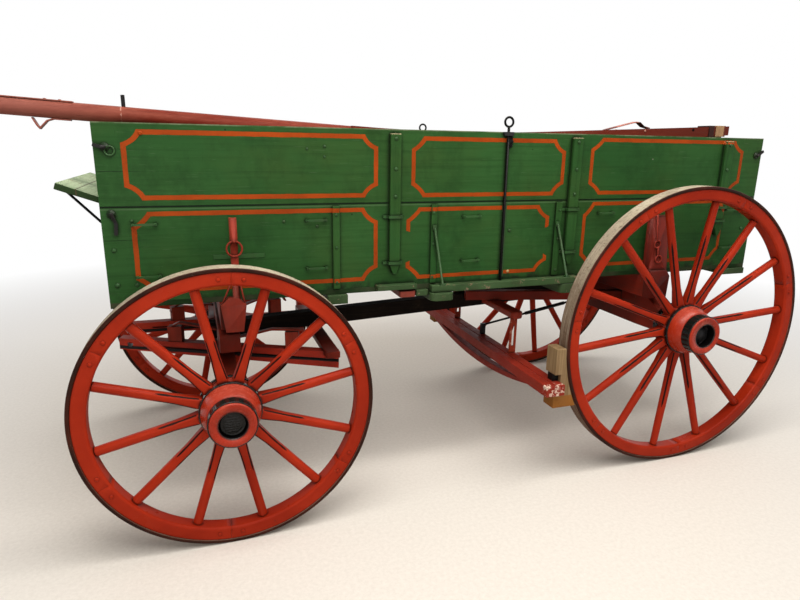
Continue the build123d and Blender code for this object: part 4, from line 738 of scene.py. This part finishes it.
def round_edges(work, node, width, edge_material):
    """Rounds the sharp edges of a node's copy, apart from the joints between felloes."""
    bmesh.ops.dissolve_limit(work, angle_limit=FLAT_ANGLE, verts=work.verts, edges=work.edges)
    edges = [e for e in work.edges if e.is_manifold and e.calc_face_angle(0) > EDGE_ANGLE]
    if node.startswith("felloes"):
        centre = JOINTS["spin_" + node.removeprefix("felloes_")]
        edges = [e for e in edges if not any(is_rim_joint(f, centre) for f in e.link_faces)]
    bmesh.ops.bevel(
        work, geom=edges, offset=width, segments=2, profile=0.6, affect="EDGES",
        clamp_overlap=True, material=1 if edge_material else -1,
    )
    bmesh.ops.triangulate(work, faces=[f for f in work.faces if len(f.verts) > 4])


def dressed(node, material, width=0.0, edge_material=None):
    """Replaces a node by a copy of its mesh with its material, its sharp edges rounded if wanted."""
    source = frame["nodes"][node]
    work = bmesh.new()
    work.from_mesh(source.data)
    bmesh.ops.remove_doubles(work, verts=work.verts, dist=WELD)
    if width:
        round_edges(work, node, width, edge_material)
    mesh = bpy.data.meshes.new(node + "_look")
    work.to_mesh(mesh)
    work.free()
    mesh.materials.clear()
    mesh.materials.append(MATERIALS[material])
    if edge_material:
        mesh.materials.append(MATERIALS[edge_material])
    smooth(mesh, 38 if width else 35)
    made = placed(node + "_look", mesh)
    if width:
        made.modifiers.new("flat_faces", "WEIGHTED_NORMAL").keep_sharp = True
    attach(made, source["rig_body"])
    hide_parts(node)


DRESS = [
    # start of the node's name, material, edge radius, material of the worn edges
    ("hub_front", "hub_red_front"),
    ("hub_rear", "hub_red_rear"),
    ("skeins", "iron_black"),
    ("stakes_front", "stake_red"),
    ("stakes_rear", "stake_dark"),
    ("bolster_stays", "stake_red"),
    ("bow_staples", "iron_green"),
    ("box_irons", "rail_iron"),
    ("box_rods", "rod_black"),
    ("gate_irons", "latch_iron"),
    ("footboard_braces", "rod_black"),
    ("kingpin", "iron_black"),
    ("brake_rod", "rod_black"),
    ("side_upper", "box_green", 0.0022, "box_edge"),
    ("side_lower", "box_green", 0.0020, "box_edge"),
    ("side_cleats", "box_green_upright", 0.0022),
    ("side_rails", "rail_green", 0.0030),
    ("end_gate", "box_green", 0.0020, "box_edge"),
    ("gate_cleats", "box_green_upright", 0.0018),
    ("cross_sills", "sill_green", 0.0040),
    ("box_floor", "floor_wood", 0.0012),
    ("footboard", "footboard_green", 0.0030),
    ("bolster_", "gear_red", 0.0040),
    ("axle_", "gear_red", 0.0050),
    ("sand_board", "gear_red", 0.0040),
    ("hounds_front", "hound_red", 0.0030),
    ("hounds_rear", "gear_red_long", 0.0040),
    ("sway_bar", "gear_red", 0.0040),
    ("reach", "reach_black", 0.0060),
    ("brake_beam", "brake_red", 0.0050),
    ("brake_blocks", "brake_wood", 0.0030),
    ("brake_hanger_bar", "stake_red", 0.0080),
    ("brake_hangers", "hanger_red", 0.0016),
    ("tongue_irons", "tongue_iron", 0.0010),
    ("tongue", "tongue_red", 0.0060),
    ("felloes", "wheel_red", 0.0040),
    ("spokes", "wheel_red", 0.0036),
    ("tire", "tyre_iron", 0.0014),
    ("front_braces", "stake_red", 0.0014),
    ("hub_bands", "iron_bright", 0.0018),
]


def dress_nodes():
    """Dresses each node by the first row of the table that fits its name."""
    for node in frame["nodes"]:
        rows = [row for row in DRESS if node.startswith(row[0])]
        dressed(node, *rows[0][1:])


def surface_of(*nodes):
    """One ray-casting tree over the rest shapes of several nodes."""
    vertices = []
    faces = []
    for node in nodes:
        mesh = frame["nodes"][node].data
        base = len(vertices)
        vertices += [v.co.copy() for v in mesh.vertices]
        faces += [[base + k for k in polygon.vertices] for polygon in mesh.polygons]
    return BVHTree.FromPolygons(vertices, faces)


def circle_of(axis, turns, start=0.0):
    """Unit vectors at even turns about an axis."""
    across = axis.orthogonal().normalized()
    other = axis.cross(across)
    angles = [start + 2 * math.pi * k / turns for k in range(turns)]
    return [across * math.cos(angle) + other * math.sin(angle) for angle in angles]


class Shell:
    """Collects the vertices and faces of one new piece."""

    def __init__(self):
        self.vertices = []
        self.faces = []

    def loops(self, rows, lid=True, closed=False, turned=False):
        """Joins loops of points, and covers the last one or joins it to the first."""
        first = len(self.vertices)
        count = len(rows[0])
        for row in rows:
            self.vertices += row
        for n in range(len(rows) if closed else len(rows) - 1):
            here = first + n * count
            there = first + (n + 1) % len(rows) * count
            for k in range(count):
                beside = (k + 1) % count
                face = (here + k, here + beside, there + beside, there + k)
                self.faces.append((face[0], *face[:0:-1]) if turned else face)
        if lid:
            self.faces.append(tuple(first + (len(rows) - 1) * count + k for k in range(count)))

    def strip(self, rows, closed=False):
        """Joins open rows of points; a row that is None leaves a gap."""
        known = []
        for row in rows:
            first = len(self.vertices)
            known.append(row and [first + k for k in range(len(row))])
            self.vertices += row or []
        for here, there in zip(known, known[1:] + (known[:1] if closed else [])):
            if here and there:
                for n in range(len(here) - 1):
                    self.faces.append((here[n], here[n + 1], there[n + 1], there[n]))

    def stepped(self, place, outs, rise, profile):
        """Adds a closed shape whose loops take a share of the outs and of the rise."""
        self.loops([[place + out * wide + rise * high for out in outs] for wide, high in profile])

    def dome(self, place, normal, radius, height, sides=12):
        """Adds one round head with a rounded edge."""
        outs = [out * radius for out in circle_of(normal, sides)]
        self.stepped(place, outs, normal * height, ((1.0, 0.0), (0.96, 0.45), (0.75, 0.85), (0.35, 1.0)))

    def square_nut(self, place, normal, half, height, turn):
        """Adds a square nut with chamfered corners and its bolt end."""
        outs = [out * half * math.sqrt(2) for out in circle_of(normal, 4, turn + math.pi / 4)]
        self.stepped(place, outs, normal * height, ((1.0, 0.0), (1.0, 0.75), (0.82, 1.0)))
        self.dome(place + normal * height, normal, half * 0.5, height * 0.45, 10)

    def ring(self, centre, axis, radius, wire):
        """Adds a round ring of wire."""
        rows = []
        for out in circle_of(axis, 28):
            rows.append([])
            for n in range(8):
                small = 2 * math.pi * n / 8
                spot = out * (radius + wire * math.cos(small)) + axis * wire * math.sin(small)
                rows[-1].append(centre + spot)
        self.loops(rows, lid=False, closed=True, turned=True)

    def plate(self, tree, x, z, thick, side):
        """Adds a thin flat iron on the side boards, between two places and two heights."""
        face_y = on_side(tree, sum(x) / 2, sum(z) / 2, side).y
        rows = []
        for lift, inset in ((0.0, 0.0), (thick, 0.0008)):
            rear, front = x[0] + inset, x[1] - inset
            low, high = z[0] + inset, z[1] - inset
            corners = ((rear, low), (front, low), (front, high), (rear, high))
            rows.append([Vector((FRONT_X + u, face_y + side * lift, v)) for u, v in corners])
        self.loops(rows)

    def piece(self, name, material, body, angle=None):
        """The finished piece of the object, which rides on a body, smooth up to an angle if wanted."""
        mesh = bpy.data.meshes.new(name)
        mesh.from_pydata(self.vertices, [], self.faces)
        mesh.materials.append(MATERIALS[material])
        mesh.validate()
        mesh.update()
        if angle:
            smooth(mesh, angle)
        made = placed(name, mesh)
        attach(made, body)
        return made


def remade(mesh, change):
    """Lets a function change a mesh's faces."""
    work = bmesh.new()
    work.from_mesh(mesh)
    change(work)
    work.to_mesh(mesh)
    work.free()


def turn_faces(made, wanted):
    """Turns each face towards the direction that is wanted for it, and smooths them all."""
    def turn(work):
        for face in work.faces:
            face.normal_update()
            if face.normal.dot(wanted(face)) < 0:
                face.normal_flip()

    remade(made.data, turn)
    made.data.shade_smooth()


def turn_shells_out(made):
    """Turns the faces of closed or open shells so that they look outwards."""
    remade(made.data, lambda work: bmesh.ops.recalc_face_normals(work, faces=work.faces))


# Painted panels
def panel_outline(row):
    """The panel's corner points in order, each corner cut with a strong or a slight bulge."""
    front, rear, low, high, cut_x, cut_z, front_kind, rear_kind, _ = row
    corners = [
        (front, high, -1, -1, front_kind), (rear, high, 1, -1, rear_kind),
        (rear, low, 1, 1, rear_kind), (front, low, -1, 1, front_kind),
    ]
    outline = []
    for number, (x, z, inward_x, inward_z, kind) in enumerate(corners):
        bulge = 0.55 if kind == "notch" else 0.3
        arc = []
        for n in range(CORNER_STEPS + 1):
            turn = math.pi / 2 * n / CORNER_STEPS
            share = n / CORNER_STEPS
            along_x = share * (1 - bulge) + math.sin(turn) * bulge
            along_z = (1 - share) * (1 - bulge) + math.cos(turn) * bulge
            arc.append(Vector((x + inward_x * cut_x * along_x, z + inward_z * cut_z * along_z)))
        outline += arc if number % 2 == 0 else arc[::-1]
    return outline


def mitred(outline, width):
    """The same closed outline moved inwards by a width, corner by corner."""
    following = outline[1:] + outline[:1]
    area = sum(here.x * after.y - after.x * here.y for here, after in zip(outline, following))
    turn = 1 if area > 0 else -1
    inner = []
    for before, here, after in zip(outline[-1:] + outline[:-1], outline, following):
        come = (here - before).normalized()
        go = (after - here).normalized()
        side_come = Vector((-come.y, come.x)) * turn
        side_go = Vector((-go.y, go.x)) * turn
        bisector = side_come + side_go
        inner.append(here + bisector * width / bisector.dot(side_come))
    return inner


def stripe_rows(boards, row, number, side):
    """Rows of three points across one panel's stripe, laid on the boards; None inside its gaps."""
    gap = row[-1]
    outline = panel_outline(row)
    inner = mitred(outline, STRIPE_W)
    rows = []
    for k, start in enumerate(outline):
        after = (k + 1) % len(outline)
        upright = abs(outline[after].y - start.y) > 0.1
        steps = max(1, round((outline[after] - start).length / STRIPE_STEP))
        for n in range(steps):
            outer_point = start.lerp(outline[after], n / steps)
            inner_point = inner[k].lerp(inner[after], n / steps)
            across = (inner_point - outer_point).normalized()
            seed = Vector((outer_point.x * 22, outer_point.y * 22, number * 3.1 + side))
            outer_point = outer_point + across * noise.noise(seed) * 0.0008
            inner_point = inner_point + across * noise.noise(seed * 1.3) * 0.0012
            if gap and upright and gap[0] < outer_point.y < gap[1]:
                rows.append(None)
                continue
            places = [outer_point.lerp(inner_point, part) for part in (0, 0.5, 1)]
            rows.append([on_side(boards, *place, side) + OUT[side] * PAINT_LIFT for place in places])
    return rows


def paint_panels():
    """Hand-painted stripes that lie on the boards and run over the cleats and strips."""
    for side, word in ((1, "left"), (-1, "right")):
        boards = surface_of("side_upper_" + word, "side_lower_" + word, "side_cleats")
        shell = Shell()
        for number, row in enumerate(PANELS):
            shell.strip(stripe_rows(boards, row, number, side), closed=True)
        made = shell.piece("panel_stripes_" + word, "stripe", "wagon_body")
        turn_faces(made, lambda face: OUT[side])


# Irons and bolts on the box and the tongue
BOARDS = surface_of(
    "side_upper_left", "side_lower_left", "side_upper_right", "side_lower_right", "side_cleats",
)


def on_side(tree, x, z, side):
    """The outermost point of the box's side at a place from the front axle and a height."""
    origin = Vector((FRONT_X + x, side * (BOX_HALF + RAY_START), z))
    return tree.ray_cast(origin, -OUT[side])[0]


def box_bolts():
    """Bolt heads on the side boards and down the cleats, on both sides of the box."""
    for name, spots, material in BOLT_GROUPS:
        shell = Shell()
        for side in (1, -1):
            for x, z, radius in spots:
                place = on_side(BOARDS, x, z, side)
                if place:
                    shell.dome(place, OUT[side], radius, radius * 0.55)
        shell.piece(name, material, "wagon_body", 40)


def side_plates():
    """Two thin green irons on each side: one behind the stake, one beside the upright rod."""
    shell = Shell()
    for side in (1, -1):
        for x, z in SIDE_PLATES:
            shell.plate(BOARDS, x, z, PLATE_THICK, side)
    turn_shells_out(shell.piece("side_plates", "iron_green", "wagon_body"))


def staple_heads():
    """Small rivets at both ends of each bow staple."""
    shell = Shell()
    staple_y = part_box("bow_staples")[1].y
    for side in (1, -1):
        for x in STAPLES_X:
            for drop in STAPLE_DROPS:
                for end in (-STAPLE_HALF, STAPLE_HALF):
                    place = Vector((FRONT_X + x + end, side * staple_y, SEAM_Z - drop))
                    shell.dome(place, OUT[side], *STAPLE_HEAD, 8)
    shell.piece("staple_heads", "iron_green", "wagon_body", 40)


def latch_rings():
    """A small green ring that hangs under each front upper latch lever."""
    shell = Shell()
    for side in (1, -1):
        centre = on_side(BOARDS, *RING_PLACE, side) + OUT[side] * RING_OUT
        shell.ring(centre, Vector((0, 1, 0.12)).normalized(), RING_R, RING_WIRE)
    shell.piece("latch_rings", "iron_green", "wagon_body", 40)


def rod_catches():
    """A short black strap with nuts that hangs beside the upright rod, under its keeper."""
    shell = Shell()
    for side in (1, -1):
        shell.plate(BOARDS, *CATCH_PLATE, CATCH_THICK, side)
        for x, z, half in CATCH_NUTS:
            seat = on_side(BOARDS, x, z, side) + OUT[side] * (CATCH_THICK - 0.0002)
            shell.square_nut(seat, OUT[side], half, 0.006, 0.3)
    turn_shells_out(shell.piece("rod_catches", "rod_black", "wagon_body", 40))


def tongue_marks():
    """A flat black disc as painted shade in a bolt hole, a pale worn bolt head and strap bolts along the
    stored tongue.
    """
    tree = surface_of("tongue", "tongue_irons")
    for name, spots, material in TONGUE_SPOTS:
        shell = Shell()
        for x, z, radius, rise in spots:
            for side in (1, -1):
                origin = Vector((FRONT_X + x, TONGUE_Y + side * RAY_START, z))
                hit, normal, _, _ = tree.ray_cast(origin, -OUT[side])
                if hit:
                    shell.dome(hit, normal, radius, radius * rise)
        shell.piece(name, material, "wagon_body", 40)
    shell = Shell()
    for x in STRAP_BOLTS_X:
        origin = Vector((FRONT_X + x, TONGUE_Y, BOX_TOP + 2 * RAY_START))
        hit, normal, _, _ = tree.ray_cast(origin, Vector((0, 0, -1)))
        if hit:
            shell.dome(hit, normal, *STRAP_BOLT)
    shell.piece("tongue_strap_bolts", "tongue_iron", "wagon_body", 40)


# Details on the wheels
def in_wheel(wheel, angle, radius, along):
    """A point of a wheel; the right wheels are the left ones turned about the upright axis."""
    turn = math.radians(angle)
    return wheel.centre + Vector((
        wheel.side * radius * math.cos(turn), wheel.side * along, radius * math.sin(turn),
    ))


def spoke_stripes():
    """Black lines along the front corners of every spoke, drawn to a point."""
    for wheel in WHEELS:
        tree = surface_of("spokes_" + wheel.name)
        shell = Shell()
        for k in range(wheel.spokes):
            for edge in (1, -1):
                shell.strip(line_rows(tree, wheel, k, edge, random.uniform(*wheel.line_lengths)))
        made = shell.piece("spoke_lines_" + wheel.name, "black_line", "wheel_" + wheel.name)
        turn_faces(made, lambda face: OUT[wheel.side])


def line_rows(tree, wheel, number, edge, length):
    """Rows of three points across one line, lifted off the spoke by the paint; None where they miss it."""
    turn = math.radians(wheel.phase + 360 / wheel.spokes * number)
    radial = Vector((wheel.side * math.cos(turn), 0, math.sin(turn)))
    across = Vector((-wheel.side * math.sin(turn), 0, math.cos(turn))) * edge
    outward = OUT[wheel.side]
    run = wheel.radius - TYRE_AND_FELLOE - wheel.hub_r
    rows = []
    for n in range(LINE_STEPS + 1):
        share = n / LINE_STEPS
        out = SPOKE_INSET + (run - SPOKE_INSET) * length * share
        seed = Vector(((wheel.hub_r + out) * 30, number, edge + wheel.side * 5))
        half = (0.0026 + 0.0028 * share) * min(1.0, (1 - share) * 9 + 0.15) * wheel.line_width
        half *= 1 + 0.25 * noise.noise(seed)
        core = wheel.centre + radial * (wheel.hub_r + out) - outward * SPOKE_DISH * (1 - out / run)
        row = []
        for part in (-1, 0, 1):
            lean = math.pi / 4 + part * half / SPOKE_CORNER
            view_from = across * math.sin(lean) + outward * math.cos(lean)
            hit, normal, _, _ = tree.ray_cast(core + view_from * 2 * SPOKE_REACH, -view_from)
            if hit and (hit - core).length < SPOKE_REACH:
                row.append(hit + normal * PAINT_LIFT)
        rows.append(row if len(row) == 3 else None)
    return rows


def felloe_bolts():
    """Two bolts at each felloe joint, with heads outside and square nuts inside."""
    for wheel in WHEELS:
        shell = Shell()
        outward = OUT[wheel.side]
        for k in range(wheel.spokes // 2):
            joint = wheel.phase + 180 / wheel.spokes + 720 / wheel.spokes * k
            for off in (-1, 1):
                angle = joint + off * math.degrees(FELLOE_BOLT_OFF / wheel.radius)
                head = in_wheel(wheel, angle, wheel.radius - FELLOE_BOLT_IN, FELLOE_HALF)
                shell.dome(head, outward, *FELLOE_BOLT)
                nut = in_wheel(wheel, angle, wheel.radius - FELLOE_BOLT_IN, -FELLOE_HALF)
                shell.square_nut(nut, -outward, *FELLOE_BOLT, random.uniform(0, 1.5))
        shell.piece("felloe_bolts_" + wheel.name, "wheel_red", "wheel_" + wheel.name, 40)


def wheel_loops(wheel, steps, place):
    """Loops of points round an axle, one for each step, where a function of it and the angle puts them."""
    turns = [2 * math.pi * k / ROUND_SIDES for k in range(ROUND_SIDES)]
    return [[wheel.centre + Vector(place(wheel, step, math.cos(turn), math.sin(turn))) for turn in turns]
            for step in steps]


def on_cap(wheel, share, across, up):
    """A point of a front hub's cap, by its share of the way out to the edge."""
    spot = Vector((across, up, 0)) * (RECESS_R["front"] - 0.0035) * share
    spot.z = wheel.side
    rim = 0.0030 * math.exp(-((share - 0.90) / 0.06) ** 2)
    crown = 0.0060 * (1 - share ** 2)
    drop = 0.0 if share < 0.985 else -0.004
    worn = max(0.0, 1 - (share / 0.72) ** 6)
    skin = noise.fractal(spot * 130, 0.6, 2.0, 4) * 0.0016
    rows_of_marks = 0.0010 * math.sin(spot.y * 620 + 2 * noise.noise(spot * 60))
    along = NOSE["front"] - CAP_SINK + crown + rim + drop + skin + rows_of_marks * worn
    return spot.x, wheel.side * along, spot.y


def on_lining(wheel, depth, across, up):
    """A point of a hub's lining, at a depth below its nose."""
    rough = 1 - 0.006 * abs(noise.noise(Vector((across * 3, up * 3, depth * 90))))
    out = (RECESS_R[wheel.end] - 0.0004) * rough
    return across * out, wheel.side * (NOSE[wheel.end] - depth), up * out


def hub_caps():
    """Cast caps over the front nuts: a rim, a low crown and an uneven foundry skin."""
    for wheel in WHEELS:
        if wheel.end != "front":
            continue
        shell = Shell()
        shares = [n / CAP_ROWS for n in range(CAP_ROWS + 1)]
        shell.loops(wheel_loops(wheel, shares, on_cap), lid=False, turned=True)
        made = shell.piece("hub_cap_" + wheel.name, "cap_iron", "wheel_" + wheel.name)
        turn_faces(made, lambda face: OUT[wheel.side])


def recess_linings():
    """A black lining inside each hub's open nose: black paint, and painted shade deep in the recess."""
    for wheel in WHEELS:
        shell = Shell()
        shell.loops(wheel_loops(wheel, LINING_DEPTHS, on_lining), lid=False)
        made = shell.piece("hub_lining_" + wheel.name, "recess_black", "wheel_" + wheel.name)
        turn_faces(made, lambda face: (wheel.centre - face.calc_center_median()) * Vector((1, 0, 1)))


make_materials()
dress_nodes()
paint_panels()
box_bolts()
side_plates()
staple_heads()
latch_rings()
rod_catches()
tongue_marks()
spoke_stripes()
felloe_bolts()
hub_caps()
recess_linings()


# Camera, light and ground
def make_camera():
    """The photograph's camera, which is turned by its yaw, then its pitch, then its roll."""
    data = bpy.data.cameras.new("photo_camera")
    data.sensor_width = SENSOR_W
    data.lens = FOCAL_PX / IMAGE_W * SENSOR_W
    camera = placed("photo_camera", data)
    matrix = Matrix.Translation((FRONT_X + CAMERA_AHEAD, CAMERA_Y, CAMERA_Z))
    for angle, axis in ((math.pi - CAMERA_YAW, "Z"), (math.pi / 2 + CAMERA_PITCH, "X"), (CAMERA_ROLL, "Z")):
        matrix = matrix @ Matrix.Rotation(angle, 4, axis)
    camera.matrix_world = matrix
    bpy.context.scene.camera = camera


def area_light(name, place, target, size, energy):
    """A soft rectangular light, its size given as width and depth."""
    data = bpy.data.lights.new(name, "AREA")
    data.shape = "RECTANGLE"
    data.energy = energy
    data.size, data.size_y = size
    data.color = LAMP_COLOUR
    light = placed(name, data)
    light.location = place
    light.rotation_euler = (Vector(target) - Vector(place)).to_track_quat("-Z", "Y").to_euler()


def make_world():
    """White behind the object, a softer even light on it."""
    world = bpy.data.worlds.new("studio")
    bpy.context.scene.world = world
    world.use_nodes = True
    s = Nodes(world.node_tree)
    light = s.tree.nodes["Background"]
    white = s.node("ShaderNodeBackground")
    for made, colour, strength in ((light, WORLD_COLOUR, 0.36), (white, (1, 1, 1), 1.0)):
        s.feed(made.inputs["Color"], colour)
        s.feed(made.inputs["Strength"], strength)
    seen = s.seen_by("Is Camera Ray", "Is Glossy Ray", "Is Transmission Ray")
    s.blend("World Output", seen, light.outputs[0], white.outputs[0])


def make_floor():
    """A pale floor that keeps the shadow and turns to the white background further out."""
    s = Shade("studio_floor", (0.66, 0.63, 0.59))
    s.lay((0.74, 0.71, 0.67), s.noise(60.0, detail=5, rough=0.7), 0.35, 0.7)
    s.done(0.6)
    away = s.node("ShaderNodeVectorMath", operation="LENGTH")
    s.feed(away.inputs[0], s.point)
    seen = s.seen_by("Is Camera Ray", "Is Glossy Ray")
    share = s.times(s.step(away.outputs["Value"], FLOOR_NEAR, FLOOR_FAR), seen)
    white = s.node("ShaderNodeEmission")
    s.blend("Material Output", share, s.shader.outputs[0], white.outputs[0])
    work = bmesh.new()
    bmesh.ops.create_grid(work, x_segments=1, y_segments=1, size=FLOOR_HALF)
    mesh = bpy.data.meshes.new("studio_floor")
    work.to_mesh(mesh)
    work.free()
    mesh.materials.append(s.material)
    floor = placed("studio_floor", mesh)


make_camera()
make_world()
make_floor()
for lamp in LAMPS:
    area_light(*lamp)
bpy.context.scene.view_settings.view_transform = "Standard"
